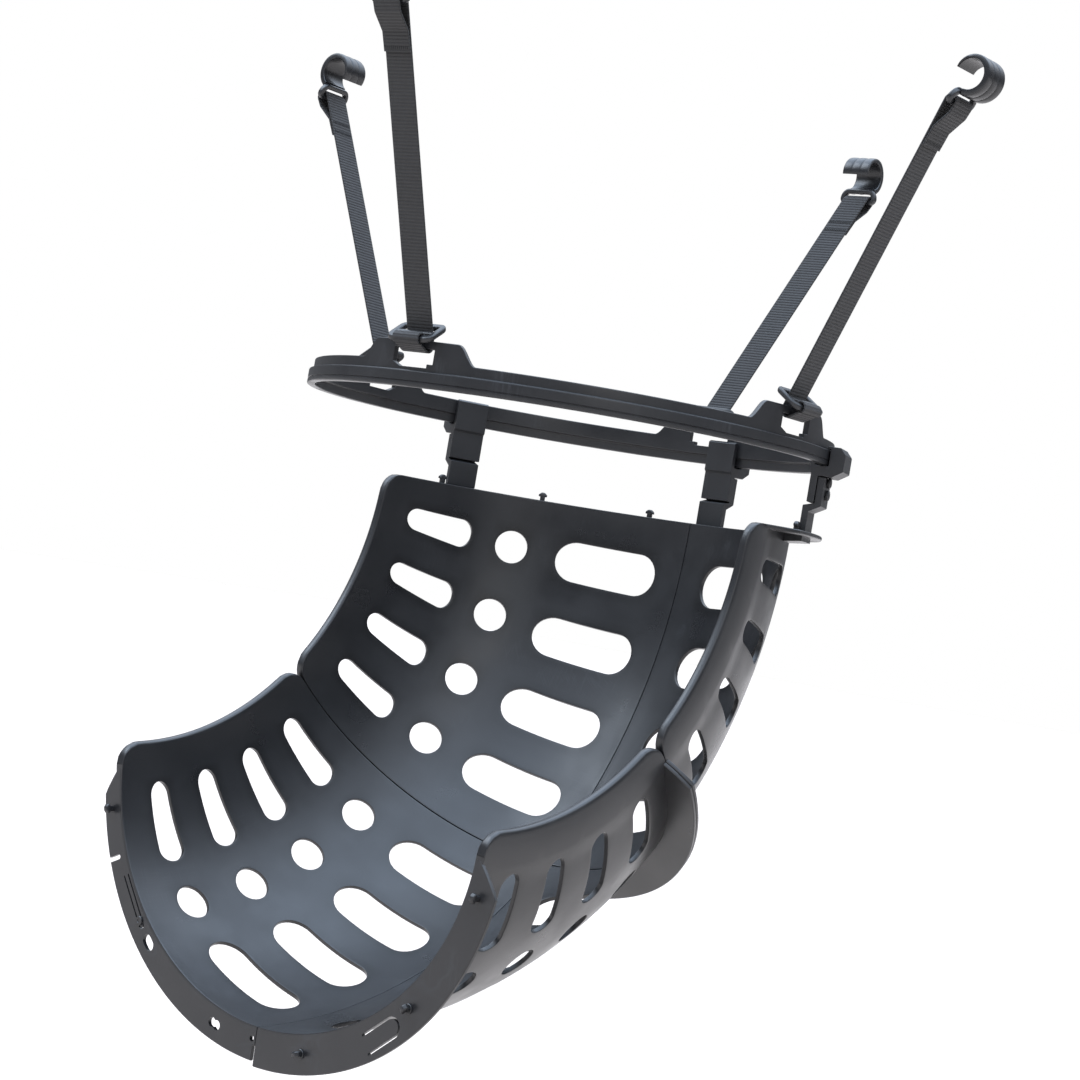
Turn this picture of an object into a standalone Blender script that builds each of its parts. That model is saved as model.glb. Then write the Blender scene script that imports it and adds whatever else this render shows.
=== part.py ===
"""Ball-return chute that hangs under a basketball hoop.

A ring hangs on four webbing straps with rim hooks. A perforated half-pipe elbow, made of four moulded
panels, hangs from the ring on three hangers and turns around it. +Z is up, -Y is the outlet side, and the
origin is the centre of the hoop that the hooks hang on. Azimuths run from +Y towards -X, in degrees.
"""
import math

import bmesh
import bpy
from mathutils import Matrix, Vector

# Driving dimensions, in metres and degrees.
FLANGE_Z = -0.277            # top flange plane of the chute, below the hoop
GAP = 0.00015                # half of the gap between touching pieces

RING_OUTER = 0.175
RING_INNER = 0.1682
RING_BOTTOM = 0.0441         # heights are above the top flange plane
RING_LEDGE = 0.0539
RING_WEB = 0.1722            # outer radius of the web above the ledge
RING_TOP = 0.0606
RING_RECESS = 0.0014         # the inner face steps back below the ledge
RING_STEPS = 72

LUG_AZIMUTHS = {"left": 94.0, "front": 184.5, "back": 5.0, "right": -86.5}
LUG_TOP = 0.0730
LUG_BASE_HALF = 0.040
LUG_TOP_HALF = 0.033
SLOT_HALF = 0.0155
SLOT_BOTTOM = 0.0564
SLOT_TOP = 0.0680
BAR_Z = 0.5 * (LUG_TOP + SLOT_TOP)
BAR_R = 0.5 * (RING_INNER + RING_WEB)

HOOK_CIRCLE = 0.2485         # radius of the circle through the hook eyes
HOOK_EYES = {"left": (96.6, 0.2557), "front": (185.0, 0.2608), "back": (-5.4, 0.2508), "right": (-86.6, 0.2658)}
HOOK_LEAN = {"left": -20.0, "front": 4.0, "back": 4.0, "right": 35.0}

WEBBING = 0.0012             # thickness
WEBBING_HALF = 0.010         # half width
LOOP_R = 0.0043              # loop round the lug bar, to the webbing's middle
EYE_LOOP_R = 0.0040
SEWN_END = 0.030             # how far the sewn end lies back below the eye

BEND_R = 0.207               # axis of the elbow to the axis of the half pipe
HALF_WIDTH = 0.1538          # inner section, a half ellipse
DEPTH = 0.1432
SECTION_TURN = 43.92         # each of the two sections bends through this angle
WALL = 0.0030
RIM_THICK = 0.0062
RIM_RISE = 0.004             # the rim passes the pipe axis by this much
RIM_CORNER = 0.014
FLANGE_THICK = 0.0026
FLANGE_OUT = {"left": (0.169, 0.0044), "right": (0.175, 0.0075)}

ROW_FIRST = 6.95             # rows of openings in each section, degrees of bend
ROW_PITCH = 9.68
ROW_COUNT = 4
# centre and half length round the pipe (degrees), half height (metres), cell limits (degrees)
WIDE_SLOT = (23.3, 14.9, 0.0146, 4.5, 43.0)
ROUND_HOLE = (50.7, 4.4, 0.0115, 43.0, 58.5)
NARROW_SLOT = (71.8, 9.8, 0.0086, 58.5, 84.0)

HANGER_AZIMUTHS = {"left": 66.0, "centre": 0.0, "right": -66.0}
CLIP_HALF = 0.01175
FOOT_HALF = 0.01075
PIN_HEIGHTS = {"upper": 0.0335, "lower": 0.0255}


def polar(radius, azimuth, height=0.0):
    """Point at a radius and azimuth, with its height above the top flange plane."""
    angle = math.radians(azimuth)
    return Vector((-radius * math.sin(angle), radius * math.cos(angle), FLANGE_Z + height))


def material(name, colour, roughness):
    """Plain Principled material, shared by its name."""
    if name in bpy.data.materials:
        return bpy.data.materials[name]
    made = bpy.data.materials.new(name)
    made.use_nodes = True
    shader = made.node_tree.nodes["Principled BSDF"]
    shader.inputs["Base Color"].default_value = (*colour, 1.0)
    shader.inputs["Roughness"].default_value = roughness
    shader.inputs["Metallic"].default_value = 0.0
    return made


def moulded_black():
    return material("moulded_black", (0.018, 0.019, 0.022), 0.38)


def webbing_black():
    return material("webbing_black", (0.012, 0.012, 0.013), 0.85)


def add_mesh(name, points, faces, finish, parent=None, place=None):
    """Object from points and faces, in the frame of its parent or of the given placement."""
    mesh = bpy.data.meshes.new(name)
    mesh.from_pydata([tuple(point) for point in points], [], faces)
    mesh.validate()
    tidy_normals(mesh)
    thing = bpy.data.objects.new(name, mesh)
    bpy.context.scene.collection.objects.link(thing)
    if place is not None:
        thing.matrix_world = place
    if parent is not None:
        thing.parent = parent
    mesh.materials.append(finish)
    return thing


def tidy_normals(mesh):
    """Point every face of a closed mesh outwards and shade it smooth up to 40 degrees."""
    work = bmesh.new()
    work.from_mesh(mesh)
    bmesh.ops.remove_doubles(work, verts=work.verts, dist=0.000001)
    bmesh.ops.recalc_face_normals(work, faces=work.faces)
    work.to_mesh(mesh)
    work.free()
    mesh.shade_smooth()
    mesh.set_sharp_from_angle(angle=math.radians(40.0))


def add_empty(name, place):
    """Empty that carries moving pieces."""
    thing = bpy.data.objects.new(name, None)
    bpy.context.scene.collection.objects.link(thing)
    thing.matrix_world = place
    return thing


def combine(target, others, operation):
    """Join hidden shapes to the target, or cut them from it."""
    for other in others:
        other.hide_render = True
        other.display_type = "WIRE"
        step = target.modifiers.new(operation.lower() + "_" + other.name, "BOOLEAN")
        step.operation = operation
        step.solver = "EXACT"
        step.object = other


def sweep(sections):
    """Points and faces of a closed body from a list of equal closed sections, capped at both ends."""
    count = len(sections[0])
    points = [point for section in sections for point in section]
    faces = []
    for row in range(len(sections) - 1):
        low = row * count
        for i in range(count):
            j = (i + 1) % count
            faces.append((low + i, low + j, low + count + j, low + count + i))
    faces.append(tuple(reversed(range(count))))
    last = (len(sections) - 1) * count
    faces.append(tuple(last + i for i in range(count)))
    return points, faces


def prism_x(outline, half):
    """Closed outline in the YZ plane, drawn out along X to both sides."""
    return sweep([[(side * half, y, z) for y, z in outline] for side in (-1, 1)])


def arc(centre, radius, start, stop, steps):
    """Points on an arc, in degrees, as pairs."""
    turn = [math.radians(start + (stop - start) * i / steps) for i in range(steps + 1)]
    return [(centre[0] + radius * math.cos(a), centre[1] + radius * math.sin(a)) for a in turn]


def ribbon_outline(path, thickness):
    """Closed outline of a band of even thickness that follows a path in a plane."""
    left = []
    right = []
    for i, point in enumerate(path):
        before = path[max(i - 1, 0)]
        after = path[min(i + 1, len(path) - 1)]
        run = math.hypot(after[0] - before[0], after[1] - before[1])
        across = (-(after[1] - before[1]) / run, (after[0] - before[0]) / run)
        left.append((point[0] + across[0] * thickness / 2, point[1] + across[1] * thickness / 2))
        right.append((point[0] - across[0] * thickness / 2, point[1] - across[1] * thickness / 2))
    return left + right[::-1]


# ---- chute panels ---------------------------------------------------------------------------------------

def pipe_radius(phi):
    """Inner radius of the half-ellipse section, phi in degrees from the bottom seam."""
    angle = math.radians(phi)
    return 1.0 / math.hypot(math.sin(angle) / HALF_WIDTH, math.cos(angle) / DEPTH)


def wall_thickness(phi):
    """Wall that thickens into the rim."""
    step = min(max((phi - 78.0) / 8.0, 0.0), 1.0)
    return WALL + (RIM_THICK - WALL) * step * step * (3.0 - 2.0 * step)


def elbow_point(side, bend, phi, radius, shift=0.0):
    """Point of the elbow at a bend angle and pipe angle, moved along the bend by a length."""
    x = side * radius * math.sin(math.radians(phi))
    reach = BEND_R + radius * math.cos(math.radians(phi))
    turn = math.radians(bend)
    y = -BEND_R + reach * math.cos(turn) - shift * math.sin(turn)
    z = -reach * math.sin(turn) - shift * math.cos(turn)
    return (x, y, z)


def rim_phi(along):
    """Pipe angle of the rim at a bend angle from the nearer end, with a rounded corner."""
    run = math.radians(along) * BEND_R
    drop = 0.0
    if run < RIM_CORNER:
        drop = RIM_CORNER - math.sqrt(RIM_CORNER ** 2 - (RIM_CORNER - run) ** 2)
    return 90.0 + math.degrees(math.asin((RIM_RISE - drop) / HALF_WIDTH))


def spread(start, stop, count):
    """Evenly spaced values from start up to but not including stop."""
    return [start + (stop - start) * i / count for i in range(count)]


def bend_lines():
    """Bend angles of the lattice lines, and the first line of each row of openings."""
    lines = [0.0, 0.5, 1.3]
    rows = []
    for row in range(ROW_COUNT):
        centre = ROW_FIRST + ROW_PITCH * row
        rows.append(len(lines))
        lines += spread(centre - ROW_PITCH / 2, centre + ROW_PITCH / 2, 3)
    end = ROW_FIRST + ROW_PITCH * (ROW_COUNT - 0.5)
    lines += [end, SECTION_TURN - 1.3, SECTION_TURN - 0.5, SECTION_TURN]
    return lines, rows


def pipe_lines():
    """Pipe angles of the lattice lines, and the first line of each opening."""
    lines = [0.0]
    firsts = []
    for opening, count in ((WIDE_SLOT, 6), (ROUND_HOLE, 3), (NARROW_SLOT, 4)):
        firsts.append((opening, len(lines), count))
        lines += spread(opening[3], opening[4], count)
    lines += [84.0, 87.0, 90.0]
    return lines, firsts


def opening_edge(opening, centre_bend, across, along):
    """Edge points of an opening, matched to its cell's sides: list of (bend, phi) in order."""
    middle, half_phi, half_height, _, _ = opening
    reach = BEND_R + pipe_radius(middle) * math.cos(math.radians(middle))
    half_length = math.radians(half_phi) * pipe_radius(middle)
    straight = max(half_length - half_height, 0.0)
    corner = half_height * math.sqrt(0.5)
    edge = []

    def put(x, y):
        edge.append((centre_bend + math.degrees(y / reach), middle + math.degrees(x / pipe_radius(middle))))

    for i in range(across):                      # low side, towards larger phi
        x = (-1.0 + 2.0 * i / across) * (straight + corner)
        over = max(abs(x) - straight, 0.0)
        put(x, -math.sqrt(half_height ** 2 - over ** 2))
    for i in range(along):                       # end at larger phi
        angle = math.radians(-45.0 + 90.0 * i / along)
        put(straight + half_height * math.cos(angle), half_height * math.sin(angle))
    for i in range(across):                      # high side, back
        x = (1.0 - 2.0 * i / across) * (straight + corner)
        over = max(abs(x) - straight, 0.0)
        put(x, math.sqrt(half_height ** 2 - over ** 2))
    for i in range(along):                       # end at smaller phi
        angle = math.radians(135.0 + 90.0 * i / along)
        put(-straight + half_height * math.cos(angle), half_height * math.sin(angle))
    return edge


def wall_body(side, start):
    """Points and faces of a perforated wall, as a lattice with rings of faces round the openings."""
    bends, rows = bend_lines()
    phis, openings = pipe_lines()
    flat = []                                    # (bend from the section's start, phi)
    for bend in bends:
        rim = rim_phi(min(bend, SECTION_TURN - bend))
        for phi in phis:
            if phi > 84.0:
                phi = 84.0 + (rim - 84.0) * (phi - 84.0) / 6.0
            flat.append((bend, phi))
    width = len(phis)
    quads = {(r, c) for r in range(len(bends) - 1) for c in range(width - 1)}
    faces = []
    for row, first_bend in enumerate(rows):
        for opening, first_phi, count in openings:
            for r in range(3):
                for c in range(count):
                    quads.discard((first_bend + r, first_phi + c))
            ring = [first_bend * width + first_phi + c for c in range(count)]
            ring += [(first_bend + r) * width + first_phi + count for r in range(3)]
            ring += [(first_bend + 3) * width + first_phi + count - c for c in range(count)]
            ring += [(first_bend + 3 - r) * width + first_phi for r in range(3)]
            edge_start = len(flat)
            flat += opening_edge(opening, ROW_FIRST + ROW_PITCH * row, count, 3)
            for i in range(len(ring)):
                j = (i + 1) % len(ring)
                faces.append((ring[i], ring[j], edge_start + j, edge_start + i))
    for r, c in sorted(quads):
        low = r * width + c
        faces.append((low, low + 1, low + width + 1, low + width))
    used = sorted({i for face in faces for i in face})
    renumber = {old: new for new, old in enumerate(used)}
    faces = [tuple(renumber[i] for i in face) for face in faces]
    flat = [flat[i] for i in used]
    points = []
    for layer in (0, 1):
        for bend, phi in flat:
            radius = pipe_radius(phi) + layer * wall_thickness(phi)
            if phi == 0.0:
                phi = math.degrees(GAP / radius)
            shift = 0.0
            if bend == 0.0:
                shift = GAP + 0.0001
            elif bend == SECTION_TURN:
                shift = -GAP - 0.0001
            points.append(elbow_point(side, start + bend, phi, radius, shift))
    count = len(flat)
    edges = {}
    for face in faces:
        for i in range(4):
            edges[(face[i], face[(i + 1) % 4])] = True
    walls = [(b, a, a + count, b + count) for a, b in edges if (b, a) not in edges]
    outer = [tuple(i + count for i in reversed(face)) for face in faces]
    return points, faces + outer + walls


def end_flange(side, name, start, at_end):
    """Plate that stands out from the wall in a section's end plane."""
    bend = start + SECTION_TURN if at_end else start
    way = -1.0 if at_end else 1.0
    full, dip = FLANGE_OUT[name]
    sections = []
    steps = 14
    for i in range(steps + 1):
        phi = 0.12 + (85.3 - 0.12) * i / steps
        outer = full - dip * math.cos(math.radians(phi)) ** 3
        if phi > 79.5:
            outer += (HALF_WIDTH + 0.004 - outer) * (phi - 79.5) / 5.8
        inner = pipe_radius(phi) + 0.5 * WALL
        near = way * GAP
        far = way * (GAP + FLANGE_THICK)
        sections.append([elbow_point(side, bend, phi, inner, near), elbow_point(side, bend, phi, outer, near),
                         elbow_point(side, bend, phi, outer, far), elbow_point(side, bend, phi, inner, far)])
    return sweep(sections)


def seam_flange(side, start):
    """Low rib along the bottom seam, by which the left and right panels meet."""
    sections = []
    steps = 10
    for i in range(steps + 1):
        bend = start + SECTION_TURN * i / steps
        shift = {0: 0.0012, steps: -0.0012}.get(i, 0.0)
        section = []
        for x, out in ((0.00025, 0.5 * WALL), (0.00025, 0.0115), (0.0029, 0.0115), (0.0029, 0.5 * WALL)):
            radius = DEPTH + out
            section.append(elbow_point(side, bend, math.degrees(x / radius), radius, shift))
        sections.append(section)
    return sweep(sections)


def hanger_pad(side, phi_from, phi_to):
    """Thicker stretch of the top flange, under a hanger's foot."""
    sections = []
    for i in range(3):
        phi = phi_from + (phi_to - phi_from) * i / 2
        inner = pipe_radius(phi) + 0.5 * WALL
        section = []
        for radius, down in ((inner, 0.0012), (0.1665, 0.0012), (0.1665, 0.0060), (inner, 0.0078)):
            section.append(elbow_point(side, 0.0, phi, radius, down))
        sections.append(section)
    return sweep(sections)


def snap_stud(side, bend, phi, radius, outwards):
    """Moulded stud with a wider head, on a section's end plane."""
    angle = math.radians(phi)
    centre = Vector(elbow_point(side, bend, phi, radius))
    along = Vector(elbow_point(side, bend, phi, radius, 1.0)) - centre
    out = Vector((side * math.sin(angle), 0.0, 0.0))
    out += (Vector(elbow_point(side, bend, 0.0, 1.0)) - Vector(elbow_point(side, bend, 0.0, 0.0))) * math.cos(angle)
    across = along.cross(out).normalized()
    sections = []
    for height, half in ((-0.0012, 0.0018), (0.0030, 0.0018), (0.0032, 0.0030), (0.0046, 0.0028), (0.0058, 0.0012)):
        middle = centre - along * height * outwards
        corners = ((-1, -1), (1, -1), (1, 1), (-1, 1))
        sections.append([middle + out * 0.0018 * a + across * half * b for a, b in corners])
    return sweep(sections)


def chute_panel(name, side, level, parent):
    """One of the four moulded panels."""
    side_name = "left" if side < 0 else "right"
    start = 0.0 if level == "upper" else SECTION_TURN
    body = add_mesh(name, *wall_body(side, start), moulded_black(), parent)
    extras = [add_mesh(name + "_head_flange", *end_flange(side, side_name, start, False), moulded_black(), parent),
              add_mesh(name + "_foot_flange", *end_flange(side, side_name, start, True), moulded_black(), parent),
              add_mesh(name + "_seam_rib", *seam_flange(side, start), moulded_black(), parent)]
    if level == "upper":
        pads = ((0.25, 6.0), (61.0, 71.0))
        for i, (low, high) in enumerate(pads):
            extras.append(add_mesh(f"{name}_pad_{i}", *hanger_pad(side, low, high), moulded_black(), parent))
    if level == "upper":
        phis = (17.0, 44.5, 76.0) if side < 0 else (76.0,)
    else:
        phis = (76.0,) if side < 0 else (16.0, 48.3, 76.0)
    bend = start if level == "upper" else start + SECTION_TURN
    outwards = 1.0 if level == "upper" else -1.0
    for i, phi in enumerate(phis):
        stud = snap_stud(side, bend, phi, 0.1605, outwards)
        extras.append(add_mesh(f"{name}_stud_{i}", *stud, moulded_black(), parent))
    combine(body, extras, "UNION")
    return body


# ---- ring -----------------------------------------------------------------------------------------------

def ring_columns():
    """Azimuth and top height of each column round the ring; the lugs stand where the top rises."""
    flank = arc((LUG_BASE_HALF + 0.001, RING_TOP + 0.0055), 0.0055, 270.0, 205.0, 3)
    right = flank + [(LUG_TOP_HALF + 0.001, LUG_TOP - 0.003), (LUG_TOP_HALF - 0.002, LUG_TOP)]
    right += [(0.021, LUG_TOP), (0.005, LUG_TOP)]
    columns = []
    for azimuth in LUG_AZIMUTHS.values():
        for x, top in right:
            columns.append(((azimuth + math.degrees(x / BAR_R)) % 360.0, top))
            columns.append(((azimuth - math.degrees(x / BAR_R)) % 360.0, top))
    clear = math.degrees((LUG_BASE_HALF + 0.005) / BAR_R)
    for step in range(RING_STEPS):
        azimuth = 360.0 * step / RING_STEPS
        turns = [abs((azimuth - lug + 180.0) % 360.0 - 180.0) for lug in LUG_AZIMUTHS.values()]
        if min(turns) > clear:
            columns.append((azimuth, RING_TOP))
    return sorted(columns)


def ring_body():
    """Ring profile turned round the vertical axis, with its web raised into four lugs."""
    profile = [(RING_INNER + RING_RECESS, RING_BOTTOM), (RING_OUTER - 0.001, RING_BOTTOM), (RING_OUTER, RING_BOTTOM + 0.001),
               (RING_OUTER, RING_LEDGE - 0.0009), (RING_OUTER - 0.0008, RING_LEDGE), (RING_WEB, RING_LEDGE),
               (RING_WEB, None), (RING_INNER, None), (RING_INNER, 0.0510), (RING_INNER + RING_RECESS, 0.0500)]
    count = len(profile)
    columns = ring_columns()
    points = []
    faces = []
    for step, (azimuth, top) in enumerate(columns):
        angle = math.radians(azimuth)
        for radius, height in profile:
            points.append((-radius * math.sin(angle), radius * math.cos(angle), top if height is None else height))
        follow = (step + 1) % len(columns)
        for i in range(count):
            j = (i + 1) % count
            faces.append((step * count + i, step * count + j, follow * count + j, follow * count + i))
    return points, faces


def slot_cutter():
    """Slot with a stepped foot, drawn out along the radius."""
    outline = [(-SLOT_HALF, SLOT_TOP), (-SLOT_HALF, 0.0588), (-0.0112, 0.0588), (-0.0112, SLOT_BOTTOM),
               (0.0090, SLOT_BOTTOM), (SLOT_HALF, 0.0592), (SLOT_HALF, SLOT_TOP)]
    return sweep([[(x, y, z) for x, z in outline] for y in (0.160, 0.182)])


def add_ring():
    """Ring with its four lugs and slots."""
    place = Matrix.Translation((0.0, 0.0, FLANGE_Z))
    ring = add_mesh("ring", *ring_body(), moulded_black(), place=place)
    slots = []
    for name, azimuth in LUG_AZIMUTHS.items():
        turned = place @ Matrix.Rotation(math.radians(azimuth), 4, "Z")
        slots.append(add_mesh("ring_slot_" + name, *slot_cutter(), moulded_black(), place=turned))
    combine(ring, slots, "DIFFERENCE")
    return ring


# ---- hangers --------------------------------------------------------------------------------------------

def add_hanger(name, azimuth, parent):
    """Clip that hooks over the ring's ledge, the joggled leg below it and two pins that hold them together."""
    place = parent.matrix_world @ Matrix.Rotation(math.radians(azimuth), 4, "Z")
    inner = RING_INNER - 0.0009
    outer = RING_OUTER + 0.0006
    clip = [(0.1653, 0.0195), (0.1700, 0.0195), (0.1700, 0.0368), (0.1790, 0.0368), (0.1856, 0.0410),
            (0.1856, 0.0520), (0.1820, 0.0562), (0.1742, 0.0562), (0.1732, 0.0545), (0.1760, 0.0545),
            (outer, 0.0540), (outer, 0.0434), (inner, 0.0434), (inner, 0.0600), (0.1660, 0.0612),
            (0.1640, 0.0600), (0.1640, 0.0400), (0.1653, 0.0385)]
    body = add_mesh("rail_clip_" + name, *prism_x(clip, CLIP_HALF), moulded_black(), place=place)
    holes = []
    leg_outline = [(0.1632, 0.0003), (0.1675, 0.0003), (0.1675, 0.0135), (0.1748, 0.0175), (0.1748, 0.0362),
                   (0.1703, 0.0362), (0.1703, 0.0192), (0.1632, 0.0172)]
    leg = add_mesh("leg_" + name, *prism_x(leg_outline, FOOT_HALF), moulded_black(), place=place)
    for level, height in PIN_HEIGHTS.items():
        shaft = [(0.1666, 0.0016), (0.1750, 0.0016), (0.1751, 0.0034), (0.1768, 0.0034), (0.1772, 0.0026)]
        pin = add_mesh(f"pin_{name}_{level}", *turned_y(shaft, height, 10), moulded_black(), place=place)
        pin["height"] = height
        hole = [(0.1664, 0.0019), (0.1800, 0.0019)]
        cutter = add_mesh(f"pin_hole_{name}_{level}", *turned_y(hole, height, 10), moulded_black(), place=place)
        holes.append(cutter)
    combine(body, holes, "DIFFERENCE")
    combine(leg, holes, "DIFFERENCE")
    for thing in [body, leg] + [o for o in bpy.data.objects if o.name.startswith(f"pin_{name}_")]:
        keep = thing.matrix_world.copy()
        thing.parent = parent
        thing.matrix_world = keep


def turned_y(profile, height, steps):
    """Turned body round an axis along Y at a height, from pairs of position and radius."""
    sections = []
    for y, radius in profile:
        turn = [2.0 * math.pi * i / steps for i in range(steps)]
        sections.append([(radius * math.cos(a), y, height + radius * math.sin(a)) for a in turn])
    return sweep(sections)


# ---- straps ---------------------------------------------------------------------------------------------

def strap_frame(name):
    """Placement of a strap at its lug bar, its length and its sideways slope."""
    azimuth = LUG_AZIMUTHS[name]
    bar = polar(BAR_R, azimuth, BAR_Z)
    eye_azimuth, eye_height = HOOK_EYES[name]
    eye = polar(HOOK_CIRCLE, eye_azimuth, eye_height)
    turn = Matrix.Rotation(math.radians(azimuth), 4, "Z")
    reach = turn.to_3x3().transposed() @ (eye - bar)
    lean = math.atan2(reach.y, reach.z)
    length = math.hypot(reach.y, reach.z)
    place = Matrix.Translation(bar) @ turn @ Matrix.Rotation(-lean, 4, "X")
    return place, length, reach.x / length, lean


def strap_body(length, slope):
    """Webbing from the near side of the buckle, under the lug bar, up to the eye and back, sewn."""
    near = (0.0070, 0.0056)
    turn_end = -51.0
    foot = (near[0] + 0.0033 * math.cos(math.radians(-51.0)) - 0.0006, near[1] - 0.0033 * math.sin(math.radians(51.0)))
    path = [foot] + arc((0.0, 0.0), LOOP_R, turn_end, -180.0, 9)
    path += [(-LOOP_R, 0.006), (-EYE_LOOP_R - 0.0001, length * 0.5), (-EYE_LOOP_R, length - 0.012)]
    path += arc((0.0, length), EYE_LOOP_R, 180.0, 0.0, 9)
    path += [(EYE_LOOP_R - 0.0006, length - 0.006), (-EYE_LOOP_R + WEBBING + 0.0006, length - 0.018),
             (-EYE_LOOP_R + WEBBING + 0.0002, length - SEWN_END)]
    outline = ribbon_outline(path, WEBBING)
    points, faces = prism_x(outline, WEBBING_HALF)
    leaned = [(x + slope * max(z - 0.006, 0.0), y, z) for x, y, z in points]
    return leaned, faces


def buckle_body():
    """Three-bar slider: a bevelled frame with two slots, its plane nearly square to the webbing."""
    tilt = math.tan(math.radians(12.0))
    cells = [(-0.0108, -0.0064), (-0.0010, 0.0022), (0.0052, 0.0090)]

    def block(x_low, x_high, y_low, y_high, half):
        section = []
        for y, up in ((y_low, -half), (y_high, -half), (y_high, half), (y_low, half)):
            section.append((y, 0.0056 + (0.0070 - y) * tilt + up))
        return sweep([[(x, y, z) for y, z in section] for x in (x_low, x_high)])

    return cells, block


def add_buckle(name, place, parent):
    """Frame from two side members and three bars, and the webbing sewn over its near bar."""
    cells, block = buckle_body()
    frame = add_mesh("buckle_" + name, *block(-0.0175, -0.0130, -0.0108, 0.0090, 0.0017), moulded_black(), place=place)
    pieces = [add_mesh(f"buckle_side_{name}", *block(0.0130, 0.0175, -0.0108, 0.0090, 0.0017), moulded_black(),
                       place=place)]
    for i, (low, high) in enumerate(cells):
        half = (0.0016, 0.0015, 0.0016)[i]
        pieces.append(add_mesh(f"buckle_bar_{name}_{i}", *block(-0.0140, 0.0140, low + 0.00002 * i, high, half),
                               moulded_black(), place=place))
    combine(frame, pieces, "UNION")
    wrap = ribbon_outline(arc((0.0070, 0.0056), 0.0034, -42.0, 192.0, 10), WEBBING)
    fold = add_mesh("webbing_fold_" + name, *prism_x(wrap, WEBBING_HALF), webbing_black(), place=place)
    for thing in (frame, fold):
        keep = thing.matrix_world.copy()
        thing.parent = parent
        thing.matrix_world = keep


def hook_bodies():
    """Eye plate and arch of a rim hook, in the hook's own frame with the eye bar along X at its origin."""
    plate = [(0.0125, -0.0019), (0.0150, 0.0010), (0.0152, 0.0045), (0.0132, 0.0078), (0.0105, 0.0100)]
    outline = plate + [(-x, z) for x, z in reversed(plate)]
    eye = sweep([[(x, y, z) for x, z in outline] for y in (-0.0019, 0.0023)])
    slot = sweep([[(x, y, z) for x, z in ((-0.0112, 0.0019), (0.0112, 0.0019), (0.0112, 0.0064), (-0.0112, 0.0064))]
                  for y in (-0.01, 0.01)])
    bore = 0.0095
    steps = 18
    outer = []
    inner = []
    for i in range(steps + 1):
        along = i / steps
        angle = math.radians(-72.0 + 262.0 * along)
        thick = 0.0042 - 0.0034 * max(along - 0.55, 0.0) / 0.45
        outer.append((-0.0010 + (bore + thick) * math.cos(angle), 0.0195 + (bore + thick) * math.sin(angle)))
        inner.append((-0.0010 + bore * math.cos(angle), 0.0195 + bore * math.sin(angle)))
    arch = prism_x(outer + inner[::-1], 0.0105)
    return eye, slot, arch


def add_strap(name):
    """Strap, its slider, the fold over the slider and its rim hook."""
    place, length, slope, lean = strap_frame(name)
    add_mesh("strap_" + name, *strap_body(length, slope), webbing_black(), place=place)
    runner = add_empty("buckle_runner_" + name, place)
    add_buckle(name, place, runner)
    eye_place = place @ Matrix.Translation((slope * (length - 0.006), 0.0, length))
    eye_place = eye_place @ Matrix.Rotation(lean - math.radians(HOOK_LEAN[name]), 4, "X")
    eye, slot, arch = hook_bodies()
    hook = add_mesh("hook_" + name, *arch, moulded_black(), place=eye_place)
    combine(hook, [add_mesh("hook_eye_" + name, *eye, moulded_black(), place=eye_place)], "UNION")
    combine(hook, [add_mesh("hook_slot_" + name, *slot, moulded_black(), place=eye_place)], "DIFFERENCE")


def main():
    """Build the whole object."""
    for thing in list(bpy.data.objects):
        bpy.data.objects.remove(thing, do_unlink=True)
    add_ring()
    turn = add_empty("chute_turn_axis", Matrix.Translation((0.0, 0.0, FLANGE_Z)))
    bpy.context.view_layer.update()
    for level in ("upper", "lower"):
        for side, side_name in ((-1.0, "left"), (1.0, "right")):
            chute_panel(f"panel_{level}_{side_name}", side, level, turn)
    for name, azimuth in HANGER_AZIMUTHS.items():
        add_hanger(name, azimuth, turn)
    for name in LUG_AZIMUTHS:
        add_strap(name)


main()
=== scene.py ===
"""Looks of a ball-return chute.

A ring on four webbing straps carries a slotted half-pipe elbow that turns below it. Every length is in metres
and every angle in degrees. +Z is up, the ball leaves towards -Y, and azimuths run from +Y towards -X. Heights
named z are above the chute's top flange, which lies at FLANGE_Z.
"""
import logging
import math
from dataclasses import dataclass, field
from enum import Enum

import bmesh
import bpy
import numpy as np
from mathutils import Matrix, Vector


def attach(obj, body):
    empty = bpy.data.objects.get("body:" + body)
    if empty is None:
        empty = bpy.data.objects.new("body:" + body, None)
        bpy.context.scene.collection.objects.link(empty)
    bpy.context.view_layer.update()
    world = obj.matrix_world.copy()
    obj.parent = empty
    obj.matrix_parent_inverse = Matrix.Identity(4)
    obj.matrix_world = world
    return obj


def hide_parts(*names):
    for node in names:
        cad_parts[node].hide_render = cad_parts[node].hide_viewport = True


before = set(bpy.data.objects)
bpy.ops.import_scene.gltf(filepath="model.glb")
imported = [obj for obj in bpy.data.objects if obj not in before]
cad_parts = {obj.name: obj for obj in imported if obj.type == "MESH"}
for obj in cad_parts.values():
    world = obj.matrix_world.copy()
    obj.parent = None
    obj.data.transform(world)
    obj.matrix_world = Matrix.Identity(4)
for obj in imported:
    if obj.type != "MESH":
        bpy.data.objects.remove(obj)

LOG = logging.getLogger("ball_return")
FLANGE_Z = -0.277
GAP = 0.00015
TURN = 43.92
SMOOTH_ANGLE = 35.0
ROUND_STEPS = 2
WHITE = (1.0, 1.0, 1.0, 1.0)


class Side(Enum):
    """Which half of the chute, by the sign of X."""

    LEFT = -1.0
    RIGHT = 1.0

    @property
    def word(self) -> str:
        """Lower-case name, as the frame's nodes use it."""
        return self.name.lower()


class Level(Enum):
    """Upper or lower section of the elbow, by the bend angle at which it starts."""

    UPPER = 0.0
    LOWER = TURN

    @property
    def word(self) -> str:
        """Lower-case name, as the frame's nodes use it."""
        return self.name.lower()


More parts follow.
